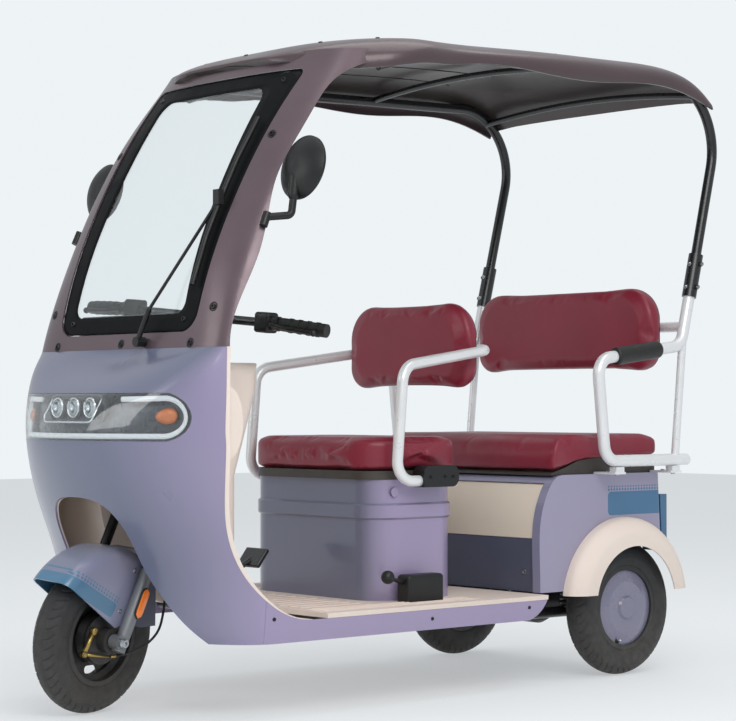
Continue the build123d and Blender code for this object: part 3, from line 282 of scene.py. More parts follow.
def dotted_row(tree: Tree, along: Socket, across: Socket, level: float, pitch: float, radius: float,
               reach: float) -> Plug:
    """A mask that is 1 on a row of dots at one level, within reach of the middle."""
    wrapped = maths(tree, "WRAP", along, pitch, 0.0)
    centred = maths(tree, "SUBTRACT", wrapped, pitch / 2)
    raised = maths(tree, "SUBTRACT", across, level)
    squares = [maths(tree, "POWER", part, 2.0) for part in (centred, raised)]
    total = maths(tree, "ADD", squares[0], squares[1])
    dot = maths(tree, "LESS_THAN", total, radius ** 2)
    size = maths(tree, "ABSOLUTE", along)
    near = maths(tree, "LESS_THAN", size, reach)
    return maths(tree, "MULTIPLY", dot, near)


@dataclass(frozen=True)
class Pearl(Finish):
    """Sprayed pearl coat on moulded ABS, grey-blue, with a painted highlight: faces that look sideways are painted a
    lighter lilac.
    """

    # painted highlight: the lighter lilac laid on faces that look sideways, standing in for the light the flanks catch
    painted_flank_highlight: str = "#A79BC0"

    def colours(self, tree: Tree, place: Plug) -> Plug:
        """The mottled colour, with a painted highlight: a lighter lilac mixed in on faces that look sideways."""
        base = Finish.colours(self, tree, place)
        # painted light: the more a face looks sideways, the more it is mixed towards the lighter lilac
        facing = add(tree, "ShaderNodeTexCoord").outputs["Normal"]
        side = part_of(tree, facing, 1)
        size = maths(tree, "ABSOLUTE", side)
        share = ramp(tree, size, 0.25, 1.0, 0.0, 0.85)
        return blend(tree, share, base, self.painted_flank_highlight)


@dataclass(frozen=True)
class Striped(Pearl):
    """The pearl coat with a generic stripe, edged by rows of dots.

    centre is the stripe's middle, tilt turns it in the side view, and turned says that it follows the steering.
    Each row of dots has its rise above the stripe's edge and its dots' radius. Lengths are in metres.
    """

    stripe: str = "#3D6F96"
    centre: tuple[float, float, float] = (0.0, 0.0, 0.0)
    tilt: float = 0.0
    half: tuple[float, float] = (0.1, 0.02)
    corner: float = 0.008
    turned: bool = False
    pitch: float = 0.011
    dots: tuple[tuple[float, float], ...] = ((0.0055, 0.0034), (0.0135, 0.0026))

    def colours(self, tree: Tree, place: Plug) -> Plug:
        """The pearl colour with the stripe and its dots laid over it."""
        base = Pearl.colours(self, tree, place)
        spot = place
        if self.turned:
            spot = add(tree, "ShaderNodeVectorRotate", {"Vector": spot, "Center": STEER_POINT, "Axis": STEER_AXIS,
                                                        "Angle": -STORED_STEER},
                       rotation_type="AXIS_ANGLE").outputs[0]
        moved = add(tree, "ShaderNodeVectorMath", {0: spot, 1: self.centre}, operation="SUBTRACT")
        level = add(tree, "ShaderNodeVectorRotate", {"Vector": moved, "Angle": self.tilt}, rotation_type="Y_AXIS")
        along, across = part_of(tree, level, 0), part_of(tree, level, 2)
        band = inside_panel(tree, along, across, self.half, self.corner)
        masks = [dotted_row(tree, along, across, self.half[1] + rise, self.pitch, size, self.half[0])
                 for rise, size in self.dots]
        marks = maths(tree, "MAXIMUM", masks[0], masks[1])
        both = maths(tree, "MAXIMUM", band, marks)
        return blend(tree, both, base, self.stripe)


@dataclass(frozen=True)
class DownFacingDarker(Finish):
    """A painted moulding given a darker colour on faces that look down."""

    under: str = "#3C3432"

    def colours(self, tree: Tree, place: Plug) -> Plug:
        """The painted colour above, a darker colour on faces that look down."""
        base = Finish.colours(self, tree, place)
        facing = add(tree, "ShaderNodeTexCoord").outputs["Normal"]
        up = part_of(tree, facing, 2)
        share = ramp(tree, up, -0.35, -0.1, 1.0, 0.0)
        return blend(tree, share, base, self.under)


@dataclass(frozen=True)
class TwoTone(Finish):
    """One enamel above a level and another below it; the level is in metres above ground."""

    upper: str = "#1B1C1E"
    level: float = 0.4

    def colours(self, tree: Tree, place: Plug) -> Plug:
        """The lower colour, changed to the upper one above the level."""
        base = Finish.colours(self, tree, place)
        height = part_of(tree, place, 2)
        share = maths(tree, "GREATER_THAN", height, self.level)
        return blend(tree, share, base, self.upper)


@dataclass(frozen=True)
class Tread(Finish):
    """Tyre rubber, with the moulding line and wax bloom that a new tyre shows. Reads the tyre's own UV map."""

    line: str = "#A7A45E"

    def colours(self, tree: Tree, place: Plug) -> Plug:
        """The rubber's colour with a broken line beside the crown."""
        base = Finish.colours(self, tree, place)
        spot = add(tree, "ShaderNodeTexCoord").outputs["UV"]
        across = part_of(tree, spot, 1)
        off = maths(tree, "SUBTRACT", across, 0.405)
        size = maths(tree, "ABSOLUTE", off)
        near = ramp(tree, size, 0.0, 0.006, 0.75, 0.0)
        breaks = noise(tree, place, 60.0, 2.0)
        worn = ramp(tree, breaks, 0.42, 0.55, 0.0, 1.0)
        share = maths(tree, "MULTIPLY", near, worn)
        return blend(tree, share, base, self.line)


@dataclass(frozen=True)
class Lit(Finish):
    """A diffuser over a row of lamps: milky plastic that glows a little of its own colour. The amber one also dresses
    the fork's reflectors, where its glow is painted light, as they are no lamps.
    """

    glow: float = 0.25

    def shader(self, tree: Tree, place: Plug) -> Node:
        """The plain shader with a low, even glow."""
        made = Finish.shader(self, tree, place)
        made.inputs["Emission Color"].default_value = linear(self.colour)
        made.inputs["Emission Strength"].default_value = self.glow
        return made


# Pearl lacquer over moulded ABS: a smooth coat with a broad, soft highlight.
LACQUER = {"roughness": 0.30, "mottle": 0.4, "coat": 0.6, "coat_roughness": 0.12, "spread": 0.03}
# Each pearl's flank colour below is a painted highlight on faces that look sideways.
PEARL = Pearl("pearl lacquer on ABS with a painted flank highlight", "#6D7188", "#666C83", patch=520, painted_flank_highlight="#A899BC", dust=0.12,
              **LACQUER)
FENDER_PEARL = Striped("pearl lacquer with a stripe on the front guard", "#7F8298", "#747F95", patch=420,
                       turned=True,
                       centre=tuple(at(1598, 0, 303)), tilt=math.radians(28.0), half=(0.105, 0.018),
                       stripe="#4C7897", painted_flank_highlight="#8A8AA3", **LACQUER)
TUB_PEARL = Striped("pearl lacquer with a panel on the tub", "#8C8AA4", "#858BA3", patch=520,
                    centre=tuple(at(-40, 0, 467)), half=(0.108, 0.032), corner=0.012, painted_flank_highlight="#9F99B2", dust=0.12,
                    **LACQUER)
# Satin paint on moulded glass fibre: dull mauve-brown with a wide soft highlight.
MAUVE = Finish("satin mauve paint on glass fibre", "#6A5A60", "#5D4E54", 0.34, patch=260, metallic=0.45, coat=0.35,
               coat_roughness=0.2, grain=Grain.PEEL, grain_size=6, depth=0.03)
ROOF_MAUVE = DownFacingDarker("satin mauve paint, darker on faces that look down", "#57474B", "#4B3D41", 0.34, patch=320,
                      metallic=0.3, coat=0.3, coat_roughness=0.2, under="#4C4543", grain=Grain.PEEL,
                      grain_size=6, depth=0.03)
# Polypropylene moulded in cream: matte, fine spark-eroded texture.
TEXTURED = {"patch": 240, "grain": Grain.MOULDED, "grain_size": 1.6, "depth": 0.05}
WARM_CREAM = Finish("warm cream moulded polypropylene", "#EFE2D0", "#E8D8C3", 0.52, dust=0.2, **TEXTURED)
# The arch liner's cream is partly its own colour and partly painted light: it is pushed paler than the other creams to
# stand in for light inside the shaded arch.
LINER_CREAM_LIGHTENED_FOR_SHADE = Finish("pale cream moulded polypropylene", "#F6ECE0", "#F0E4D6", 0.5, dust=0.2, **TEXTURED)
CREAM = Finish("cream moulded polypropylene", "#F2E3D8", "#EBD9CC", 0.52, dust=0.35, **TEXTURED)
DARK_PANEL = Finish("dark moulded polypropylene", "#565A6E", "#4B4E60", 0.42, patch=200, grain=Grain.MOULDED,
                    grain_size=1.6, depth=0.04, dust=0.3)
BLACK_PLASTIC = Finish("black moulded ABS", "#111213", "#191A1B", 0.42, patch=90, grain=Grain.MOULDED,
                       grain_size=1.4, depth=0.05)
# Powder coat on steel tube: semi-gloss black with orange peel.
BLACK_COAT = Finish("black powder coat on steel", "#16181A", "#1F2224", 0.30, patch=120, coat=0.3, grain=Grain.PEEL,
                    grain_size=3, depth=0.04, dust=0.3)
# Satin silver paint on steel tube: pale grey, soft broad highlight.
SILVER = Finish("satin silver paint on steel tube", "#F0F1F2", "#E6E8E9", 0.32, patch=110, metallic=0.3,
                grain=Grain.PEEL, grain_size=2.5, depth=0.02)
CASTING = Finish("painted casting", "#2A2B2D", "#35373A", 0.45, patch=60, metallic=0.3, grain=Grain.CAST,
                 grain_size=2.2, depth=0.10, dust=0.4)
# Telescopic fork: satin aluminium enamel on the sliders, black enamel above them.
FORK_COAT = TwoTone("satin silver and black enamel on the fork", "#85888C", "#7B7E82", 0.34, patch=60,
                    metallic=0.4, upper="#1B1C1E", level=0.345)
CAP_LILAC = Finish("lilac lacquer on a moulded wheel cap", "#807E95", "#797891", 0.28, patch=160, mottle=0.3,
                   coat=0.6, coat_roughness=0.1, spread=0.02, dust=0.1)
# Vinyl over foam: embossed hide, soft sheen.
VINYL = Finish("burgundy vinyl", "#8C2137", "#7B1B2F", 0.40, patch=150, mottle=0.6, coat=0.15, coat_roughness=0.3,
               sheen=0.05, grain=Grain.HIDE, grain_size=1.9, depth=0.10)
VINYL_BAND = Finish("grey-black vinyl band", "#45403C", "#38342F", 0.5, patch=60, grain=Grain.HIDE, grain_size=1.9,
                    depth=0.08)
PIPING = Finish("dark burgundy vinyl piping", "#55192A", "#481424", 0.45, patch=30, grain=Grain.HIDE,
                grain_size=1.5, depth=0.03)
SOFT_BLACK = Finish("black polyurethane foam skin", "#1B1C1B", "#262624", 0.48, patch=50, grain=Grain.HIDE,
                    grain_size=1.6, depth=0.08)
RUBBER = Tread("tyre rubber", "#202124", "#2B2C2F", 0.62, patch=70, grain=Grain.MOULDED, grain_size=1.5, depth=0.05,
               dust=0.35)
ACRYLIC = Finish("clear acrylic sheet", "#F4F8F8", "#EEF4F5", 0.02, patch=300, spread=0.01, ior=1.49,
                 transmission=1.0)
LENS = Finish("clear polycarbonate lens", "#F6FAFB", "#F0F4F6", 0.03, patch=200, spread=0.02, ior=1.58,
              transmission=1.0)
CHROME = Finish("vacuum-metallised reflector", "#E4E6E8", "#D5D8DB", 0.12, patch=40, metallic=1.0)
LAMP_TRAY = Finish("grey metallised lamp tray", "#56595F", "#44474D", 0.30, patch=60, metallic=0.5)
DIFFUSER = Lit("milky light guide", "#F2F5F8", "#E6EBF0", 0.25, patch=60)
# AMBER also dresses the fork's reflectors, where its glow is painted light.
AMBER = Lit("amber lens", "#F0802A", "#D9661C", 0.18, patch=25, coat=0.6, glow=0.12)
BLUE_LENS = Finish("blue-filmed lamp lens", "#3B6C92", "#325F84", 0.16, patch=60, coat=0.8, coat_roughness=0.05)
FRIT = Finish("black ceramic border", "#0A0B0C", "#101112", 0.5, patch=120, ior=1.2)
ZINC = Finish("yellow-passivated zinc", "#B79C5B", "#9E8750", 0.32, patch=18, metallic=0.9, grain=Grain.BRUSHED,
              grain_size=1.0, depth=0.02)
STEEL = Finish("bright zinc plate", "#B9BCC0", "#9DA1A6", 0.26, patch=16, metallic=1.0)
DARK_STEEL = Finish("blackened fastener", "#3A3A3C", "#2C2C2E", 0.32, patch=16, metallic=0.8)
MIRROR = Finish("silvered mirror glass", "#D8DEE2", "#CDD5DA", 0.03, patch=100, spread=0.01, metallic=1.0)


# ------------------------------------------------------------------ shop tools
def linked(name: str, data: bpy.types.ID) -> Thing:
    """A new object in the scene."""
    made = bpy.data.objects.new(name, data)
    bpy.context.scene.collection.objects.link(made)
    return made


def baked(thing: Thing) -> Mesh:
    """A plain mesh of an object with its modifiers applied."""
    graph = bpy.context.evaluated_depsgraph_get()
    return bpy.data.meshes.new_from_object(thing.evaluated_get(graph))


def put(name: str, mesh: Mesh, body: str, finish: Finish, smooth: bool = True) -> Thing:
    """Makes a mesh a finished piece that rides on a body.

    Args:
        name: the piece's name.
        mesh: its mesh, placed in the row frame.
        body: the body it moves with.
        finish: its finish.
        smooth: whether its faces are shaded smooth.

    Returns:
        The piece.
    """
    piece = linked(name, mesh)
    mesh.materials.clear()
    mesh.materials.append(finish.material())
    mesh.polygons.foreach_set("use_smooth", [smooth] * len(mesh.polygons))
    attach(piece, body)
    log.info("piece %s: %d faces", name, len(mesh.polygons))
    return piece


def mesh_of(name: str, points: Sequence[Sequence[float]], faces: Sequence[Sequence[int]]) -> Mesh:
    """A closed mesh with its faces turned outwards."""
    mesh = bpy.data.meshes.new(name)
    mesh.from_pydata([tuple(p) for p in points], [], [tuple(f) for f in faces])
    work = bmesh.new()
    work.from_mesh(mesh)
    bmesh.ops.remove_doubles(work, verts=work.verts, dist=1e-6)
    bmesh.ops.recalc_face_normals(work, faces=work.faces)
    work.to_mesh(mesh)
    work.free()
    return mesh


def joined(name: str, meshes: Sequence[Mesh]) -> Mesh:
    """Several meshes as one."""
    work = bmesh.new()
    for mesh in meshes:
        work.from_mesh(mesh)
    made = bpy.data.meshes.new(name)
    work.to_mesh(made)
    work.free()
    return made


def lofted(rows: int, count: int, closed: bool = False, start: int = 0) -> list[tuple[int, ...]]:
    """Four-sided faces between rows of points that each run round a section.

    Args:
        rows: how many rows there are.
        count: the points in each.
        closed: whether the last row meets the first.
        start: the first point's number.

    Returns:
        The faces.
    """
    return [(start + i * count + j, start + i * count + (j + 1) % count,
             start + (i + 1) % rows * count + (j + 1) % count, start + (i + 1) % rows * count + j)
            for i in range(rows if closed else rows - 1) for j in range(count)]


def sweep(points: Sequence[Vector], across: float, along: Optional[float] = None, closed: bool = False,
          sides: int = 12, up: Optional[Vector] = None) -> Mesh:
    """A round or oval section carried along a path.

    Args:
        points: the path.
        across: the section's half size, in metres.
        along: the half size in the up direction, if it differs.
        closed: whether the path is a loop.
        sides: points round the section.
        up: a direction that the section's second axis keeps to.

    Returns:
        A closed mesh.
    """
    path = np.array([tuple(p) for p in points])
    count = len(path)
    ahead = np.roll(path, -1, 0) - np.roll(path, 1, 0)
    if not closed:
        ahead[0], ahead[-1] = path[1] - path[0], path[-1] - path[-2]
    ahead /= np.linalg.norm(ahead, axis=1)[:, None]
    guide = np.array(tuple(up)) if up is not None else np.array([0.3, 0.5, 0.81])
    first = guide - ahead[0] * (guide @ ahead[0])
    first /= np.linalg.norm(first)
    sides_at = [first]
    for i in range(1, count):
        base = guide if up is not None else sides_at[-1]
        turned = base - ahead[i] * (base @ ahead[i])
        sides_at.append(turned / max(np.linalg.norm(turned), 1e-9))
    second = np.array(sides_at)
    third = np.cross(ahead, second)
    angles = np.linspace(0, 2 * np.pi, sides, endpoint=False)
    tall = across if along is None else along
    ring = (path[:, None, :] + second[:, None, :] * (tall * np.cos(angles))[None, :, None]
            + third[:, None, :] * (across * np.sin(angles))[None, :, None])
    verts = ring.reshape(-1, 3)
    faces = lofted(count, sides, closed)
    if not closed:
        faces += [tuple(range(sides)), tuple((count - 1) * sides + j for j in range(sides))]
    return mesh_of("sweep", verts, faces)


def lathe(profile: Sequence[tuple[float, float]], centre: Vector, axis: Vector, turns: int = 48) -> Mesh:
    """Revolves (radius, height) points about an axis through a centre; lengths are in metres."""
    axis = axis.normalized()
    side = axis.orthogonal().normalized()
    other = axis.cross(side)
    verts, faces, n = [], [], len(profile)
    for i in range(turns):
        angle = 2 * math.pi * i / turns
        out = side * math.cos(angle) + other * math.sin(angle)
        verts += [centre + out * r + axis * h for r, h in profile]
    for i in range(turns):
        nxt = (i + 1) % turns
        for j in range(n - 1):
            faces.append((i * n + j, nxt * n + j, nxt * n + j + 1, i * n + j + 1))
    for j, keep in ((0, profile[0][0] > 1e-9), (n - 1, profile[-1][0] > 1e-9)):
        if keep:
            faces.append(tuple(i * n + j for i in range(turns)))
    mesh = mesh_of("lathe", verts, faces)
    work = bmesh.new()
    work.from_mesh(mesh)
    bmesh.ops.dissolve_degenerate(work, edges=work.edges, dist=1e-7)
    work.to_mesh(mesh)
    work.free()
    return mesh


def smooth_path(points: Sequence[Vector], steps: int = 8) -> list[Vector]:
    """Points along a Catmull-Rom line through the given ones."""
    pts = [points[0] * 2 - points[1], *points, points[-1] * 2 - points[-2]]
    line = []
    for a, b, c, d in zip(pts, pts[1:], pts[2:], pts[3:]):
        for i in range(steps):
            t = i / steps
            line.append(0.5 * ((2 * b) + (c - a) * t + (2 * a - 5 * b + 4 * c - d) * t ** 2
                               + (3 * b - a - 3 * c + d) * t ** 3))
    return [*line, points[-1]]


@dataclass
class Skin:
    """A frame node's surface, for laying trim on it."""

    node: str
    tree: BVHTree = field(init=False)

    def __post_init__(self) -> None:
        """Builds the search tree from the node's mesh."""
        mesh = NODES[self.node].data
        self.tree = BVHTree.FromPolygons([v.co.copy() for v in mesh.vertices],
                                         [tuple(p.vertices) for p in mesh.polygons])

    def hit(self, start: Vector, direction: Vector) -> Optional[tuple[Vector, Vector]]:
        """Where a ray first meets the surface, and the normal there, turned to face the ray."""
        point, normal, _, _ = self.tree.ray_cast(start, direction.normalized())
        if point is None:
            return None
        return point, normal if normal.dot(direction) < 0 else -normal

    def drape(self, points: Sequence[Vector], direction: Vector, lift: float) -> list[Vector]:
        """Drops points onto the surface along a direction and lifts them off it."""
        landed = [self.hit(p, direction) for p in points]
        return [hit[0] + hit[1] * lift for hit in landed if hit]


def dress(finish: Finish, *nodes: str) -> None:
    """Gives a finish to frame nodes through their objects' material slots."""
    for name in nodes:
        piece = NODES[name]
        if not piece.material_slots:
            piece.data.materials.append(None)
        for slot in piece.material_slots:
            slot.link = "OBJECT"
            slot.material = finish.material()


def fastener_tree() -> bpy.types.GeometryNodeTree:
    """Geometry nodes that set a recessed button head on every point, facing its own way."""
    tree = bpy.data.node_groups.new("fastener heads", "GeometryNodeTree")
    face = tree.interface
    face.new_socket("Points", in_out="INPUT", socket_type="NodeSocketGeometry")
    for name in ("Radius", "Height", "Recess"):
        face.new_socket(name, in_out="INPUT", socket_type="NodeSocketFloat")
    face.new_socket("Material", in_out="INPUT", socket_type="NodeSocketMaterial")
    face.new_socket("Heads", in_out="OUTPUT", socket_type="NodeSocketGeometry")
    given = add(tree, "NodeGroupInput").outputs
    disc = add(tree, "GeometryNodeMeshCylinder", {"Vertices": 24, "Radius": given["Radius"],
                                                  "Depth": given["Height"]})
    normal = add(tree, "GeometryNodeInputNormal")
    upward = part_of(tree, normal, 2)
    top = add(tree, "FunctionNodeCompare", {0: upward, 1: 0.9}, operation="GREATER_THAN")
    crowned = add(tree, "GeometryNodeScaleElements", {"Geometry": disc, "Selection": top, "Scale": 0.8})
    rim = add(tree, "GeometryNodeExtrudeMesh", {"Mesh": crowned, "Selection": top, "Offset Scale": 0.0})
    socket = add(tree, "GeometryNodeScaleElements", {"Geometry": rim, "Selection": rim.outputs["Top"],
                                                     "Scale": given["Recess"]})
    sink = maths(tree, "MULTIPLY", given["Height"], -0.6)
    head = add(tree, "GeometryNodeExtrudeMesh", {"Mesh": socket, "Selection": rim.outputs["Top"],
                                                 "Offset Scale": sink})
    facing = add(tree, "GeometryNodeInputNamedAttribute", {"Name": "facing"}, data_type="FLOAT_VECTOR")
    turn = add(tree, "FunctionNodeAlignRotationToVector", {"Vector": facing.outputs[0]}, axis="Z")
    set_on = add(tree, "GeometryNodeInstanceOnPoints", {"Points": given["Points"], "Instance": head,
                                                        "Rotation": turn})
    real = add(tree, "GeometryNodeRealizeInstances", {0: set_on})
    flat = add(tree, "GeometryNodeSetShadeSmooth", {0: real, "Shade Smooth": False})
    done = add(tree, "GeometryNodeSetMaterial", {0: flat, "Material": given["Material"]})
    add(tree, "NodeGroupOutput", {0: done})
    return tree


@dataclass
class Fasteners:
    """Screw and bolt heads of one size on one body."""

    name: str
    body: str
    radius: float
    height: float
    finish: Finish
    slot: str
    recess: float = 0.55
    seats: list[tuple[Vector, Vector]] = field(default_factory=list)

    def seat(self, point: Vector, facing: Vector) -> None:
        """Adds one head at a point, facing a direction."""
        self.seats.append((point, facing.normalized()))

    def land(self, skin: Skin, start: Vector, direction: Vector, lift: float) -> None:
        """Adds a head where a ray meets a surface, raised off it by a lift in millimetres."""
        hit = skin.hit(start, direction)
        if hit:
            self.seat(hit[0] + hit[1] * lift * MM, hit[1])

    def build(self) -> Thing:
        """Sets the heads with geometry nodes and returns them as one plain mesh."""
        cloud = bpy.data.meshes.new(self.name + "_seats")
        cloud.from_pydata([tuple(p) for p, _ in self.seats], [], [])
        facing = cloud.attributes.new("facing", "FLOAT_VECTOR", "POINT")
        facing.data.foreach_set("vector", [c for _, n in self.seats for c in n])
        carrier = linked(self.name + "_carrier", cloud)
        tree = bpy.data.node_groups.get("fastener heads") or fastener_tree()
        setter = carrier.modifiers.new("heads", "NODES")
        setter.node_group = tree
        values = {"Radius": self.radius * MM, "Height": self.height * MM, "Recess": self.recess,
                  "Material": self.finish.material()}
        for item in tree.interface.items_tree:
            if item.in_out == "INPUT" and item.name in values:
                setter[item.identifier] = values[item.name]
        mesh = baked(carrier)
        bpy.data.objects.remove(carrier)
        return put(self.name, mesh, self.body, self.finish, smooth=False)


# ------------------------------------------------------------------ wheels
@dataclass
class Tyres:
    """Tyres with a cut tread, in place of the frame's plain ones. Lengths are in millimetres."""

    pitches: int = 46
    sipe: float = 1.7
    groove: float = 2.6
    cut: float = 3.0
    around: int = 920
    rings: int = 76
    ring_radius: float = 142.0
    outer_radius: float = 182.5
    reach: float = 152.0

    def lean(self, step: int) -> float:
        """How far round the section a ring of points lies from the crown, in degrees."""
        return -self.reach + 2 * self.reach * step / (self.rings - 1)

    def section(self) -> list[tuple[float, float]]:
        """Radius and offset round the frame tyre's own section, from one bead over the crown to the other."""
        skin, centre = Skin("rear_tyre_left"), REAR_AXLE
        start = centre + Vector((0, 0, self.ring_radius * MM))
        found = []
        for step in range(self.rings):
            angle = math.radians(self.lean(step))
            hit = skin.hit(start, Vector((0, math.sin(angle), math.cos(angle))))
            found.append((hit[0].z - centre.z, hit[0].y - centre.y))
        return found

    def sunk(self, turn: np.ndarray, lean: float) -> np.ndarray:
        """Depth of the tread cuts, in metres, round the tyre at one lean from the crown, in degrees."""
        size = abs(lean)
        run = turn * self.outer_radius
        depth = np.zeros_like(turn)
        for level in (0.0, 17.0):
            off = abs(size - level) * 0.78
            depth = np.maximum(depth, np.clip(1.25 - off / (self.groove / 2), 0, 1))
        if 19 < size < 56:
            pitch = 2 * np.pi * self.outer_radius / self.pitches
            share = (size - 19) / 37
            shift = 15 * share ** 2 * np.sign(lean) + (pitch / 2 if lean < 0 else 0)
            off = np.abs((run + shift + pitch / 2) % pitch - pitch / 2)
            depth = np.maximum(depth, np.clip(1.25 - off / (self.sipe * (0.8 + 0.5 * share)), 0, 1))
        if 5 < size < 16:
            pitch = 2 * np.pi * self.outer_radius / (self.pitches / 2)
            off = np.abs((run + 1.6 * lean + pitch / 2) % pitch - pitch / 2)
            depth = np.maximum(depth, 0.6 * np.clip(1.2 - off / self.sipe, 0, 1))
        rib = 0.35 * math.exp(-((size - 66) / 2.2) ** 2) + 0.3 * math.exp(-((size - 100) / 3) ** 2)
        return (depth * self.cut - rib * 2.0) * MM

    def mesh(self) -> Mesh:
        """The tyre about Y at the origin, with a UV map of turn and lean."""
        section = self.section()
        turn = np.linspace(0, 2 * np.pi, self.around, endpoint=False)
        rows = []
        for step, (radius, offset) in enumerate(section):
            lean = self.lean(step)
            depth = self.sunk(turn, lean) if abs(lean) < 120 else np.zeros_like(turn)
            r = radius - depth * math.cos(math.radians(lean))
            y = offset - depth * math.sin(math.radians(lean))
            rows.append(np.stack([r * np.sin(turn), np.broadcast_to(y, turn.shape), r * np.cos(turn)], 1))
        verts = np.stack(rows, 1).reshape(-1, 3)
        faces, n = [], self.rings
        for i in range(self.around):
            nxt = (i + 1) % self.around
            faces += [(i * n + j, nxt * n + j, nxt * n + (j + 1) % n, i * n + (j + 1) % n) for j in range(n)]
        mesh = bpy.data.meshes.new("tyre")
        mesh.from_pydata(verts.tolist(), [], faces)
        layer = mesh.uv_layers.new(name="UVMap")
        loops = np.zeros(len(mesh.loops), np.int32)
        mesh.loops.foreach_get("vertex_index", loops)
        coords = np.stack([(loops // n) / self.around, (loops % n) / n], 1)
        layer.data.foreach_set("uv", coords.astype(np.float32).ravel())
        work = bmesh.new()
        work.from_mesh(mesh)
        bmesh.ops.recalc_face_normals(work, faces=work.faces)
        work.to_mesh(mesh)
        work.free()
        return mesh

    def build(self) -> None:
        """Sets a tyre on each wheel."""
        plain, turn = self.mesh(), Matrix.Rotation(STORED_STEER, 4, STEER_AXIS)
        for node, body in (("rear_tyre_left", "rear_wheel_left"), ("rear_tyre_right", "rear_wheel_right"),
                           ("front_tyre", "front_wheel")):
            mesh, place = plain.copy(), Matrix.Translation(middle(node))
            mesh.transform(place @ turn if node == "front_tyre" else place)
            piece = put(node.replace("tyre", "treaded_tyre"), mesh, body, RUBBER)
            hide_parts(node)


class Wheels:
    """Rims, caps and valves."""

    def build(self) -> None:
        """Adds the valve stems, which look out of a notch in the caps, and a black plug in each notch as painted shade
        for its hollow.
        """
        for side, sign in (("left", 1), ("right", -1)):
            centre = middle(f"rear_tyre_{side}")
            out = Vector((0, sign, 0))
            spot = centre + Vector((0.030, sign * 0.0245, -0.087))
            # painted shade: a black plug fills the notch, standing in for the shade inside it
            notch = lathe([(0.0, 0.004), (0.0085, 0.004), (0.0095, 0.0), (0.0095, -0.006)], spot, out, 24)
            put(f"valve_notch_shade_{side}", notch, f"rear_wheel_{side}", BLACK_PLASTIC)
            stem = lathe([(0.0, 0.018), (0.003, 0.0175), (0.0034, 0.006), (0.0046, 0.004), (0.005, -0.006)], spot,
                         out, 20)
            put(f"valve_stem_{side}", stem, f"rear_wheel_{side}", STEEL)

    def dress(self) -> None:
        """Finishes the rims and caps."""
        dress(CASTING, "front_rim", "rear_rim_left", "rear_rim_right")
        dress(CAP_LILAC, "hub_cap_left", "hub_cap_right")


# ------------------------------------------------------------------ upholstery
@dataclass
class Pad:
    """One padded piece: its frame node, how much smaller its foam starts and how far the cover may swell.

    Lengths are in millimetres. flat_low keeps its underside on the lid.
    """

    node: str
    body: str
    name: str
    voxel: float = 6.0
    shrink: tuple[float, float, float] = (6.0, 6.0, 4.0)
    cap: float = 9.0
    flat_low: bool = True
    fill: float = 0.8
    smooth_steps: int = 6

    def start(self) -> Thing:
        """A merged, slightly smaller copy of the frame's solid, remeshed evenly."""
        work = bmesh.new()
        work.from_mesh(NODES[self.node].data)
        bmesh.ops.remove_doubles(work, verts=work.verts, dist=1e-5)
        bmesh.ops.recalc_face_normals(work, faces=work.faces)
        low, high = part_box(self.node)
        centre, size = (low + high) / 2, high - low
        scale = Vector([1 - 2 * s * MM / d for s, d in zip(self.shrink, size)])
        for vert in work.verts:
            vert.co = Vector([c + (v - c) * s for v, c, s in zip(vert.co, centre, scale)])
        mesh = bpy.data.meshes.new(self.name)
        work.to_mesh(mesh)
        work.free()
        pad = linked(self.name, mesh)
        remesh = pad.modifiers.new("even", "REMESH")
        remesh.mode = "VOXEL"
        remesh.voxel_size = self.voxel * MM
        relax = pad.modifiers.new("relax", "SMOOTH")
        relax.factor, relax.iterations = 0.5, self.smooth_steps
        self.freeze(pad)
        return pad

    def freeze(self, pad: Thing) -> None:
        """Turns the piece's live modifiers into its mesh."""
        mesh = baked(pad)
        pad.modifiers.clear()
        pad.data = mesh

    def swell(self, pad: Thing) -> None:
        """Inflates the cover by cloth simulation and caps how far each point moves."""
        rest = np.array([v.co for v in pad.data.vertices])
        cloth = pad.modifiers.new("cover", "CLOTH")
        for name, value in (("quality", 6), ("mass", 0.35), ("tension_stiffness", 22),
                            ("compression_stiffness", 22),
                            ("shear_stiffness", 12), ("bending_stiffness", 1.4), ("use_pressure", True),
                            ("uniform_pressure_force", 4.0)):
            setattr(cloth.settings, name, value)
        cloth.settings.effector_weights.gravity = 0.0
        cloth.collision_settings.use_self_collision = False
        cloth.point_cache.frame_start, cloth.point_cache.frame_end = 1, 20
        for step in range(1, 21):
            bpy.context.scene.frame_set(step)
        graph = bpy.context.evaluated_depsgraph_get()
        moved = pad.evaluated_get(graph).to_mesh()
        now = np.array([v.co for v in moved.vertices])
        pad.modifiers.clear()
        bpy.context.scene.frame_set(1)
        shift = now - rest
        length = np.linalg.norm(shift, axis=1)[:, None]
        shift *= np.minimum(1, self.cap * MM / np.maximum(length, 1e-9))
        pad.data.vertices.foreach_set("co", (rest + shift).ravel())

    def settle(self, pad: Thing) -> None:
        """Flattens what rests on the lid and fits the pad to its own space."""
        low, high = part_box(self.node)
        proud = Vector((4, 4, 3)) * MM
        spots = np.array([v.co for v in pad.data.vertices])
        floor = low - proud
        if self.flat_low:
            floor.z = low.z
        spots = np.clip(spots, np.array(floor), np.array(high + proud))
        least, most = spots.min(axis=0), spots.max(axis=0)
        spots = np.array(low) + (spots - least) / (most - least) * np.array(high - low)
        pad.data.vertices.foreach_set("co", spots.ravel())

    def build(self) -> Thing:
        """Makes the finished pad."""
        pad = self.start()
        self.swell(pad)
        self.settle(pad)
        fine = pad.modifiers.new("fine", "SUBSURF")
        fine.levels = fine.render_levels = 1
        self.freeze(pad)
        mesh = pad.data
        bpy.data.objects.remove(pad)
        pad = put(self.name, mesh, self.body, VINYL)
        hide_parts(self.node)
        return pad


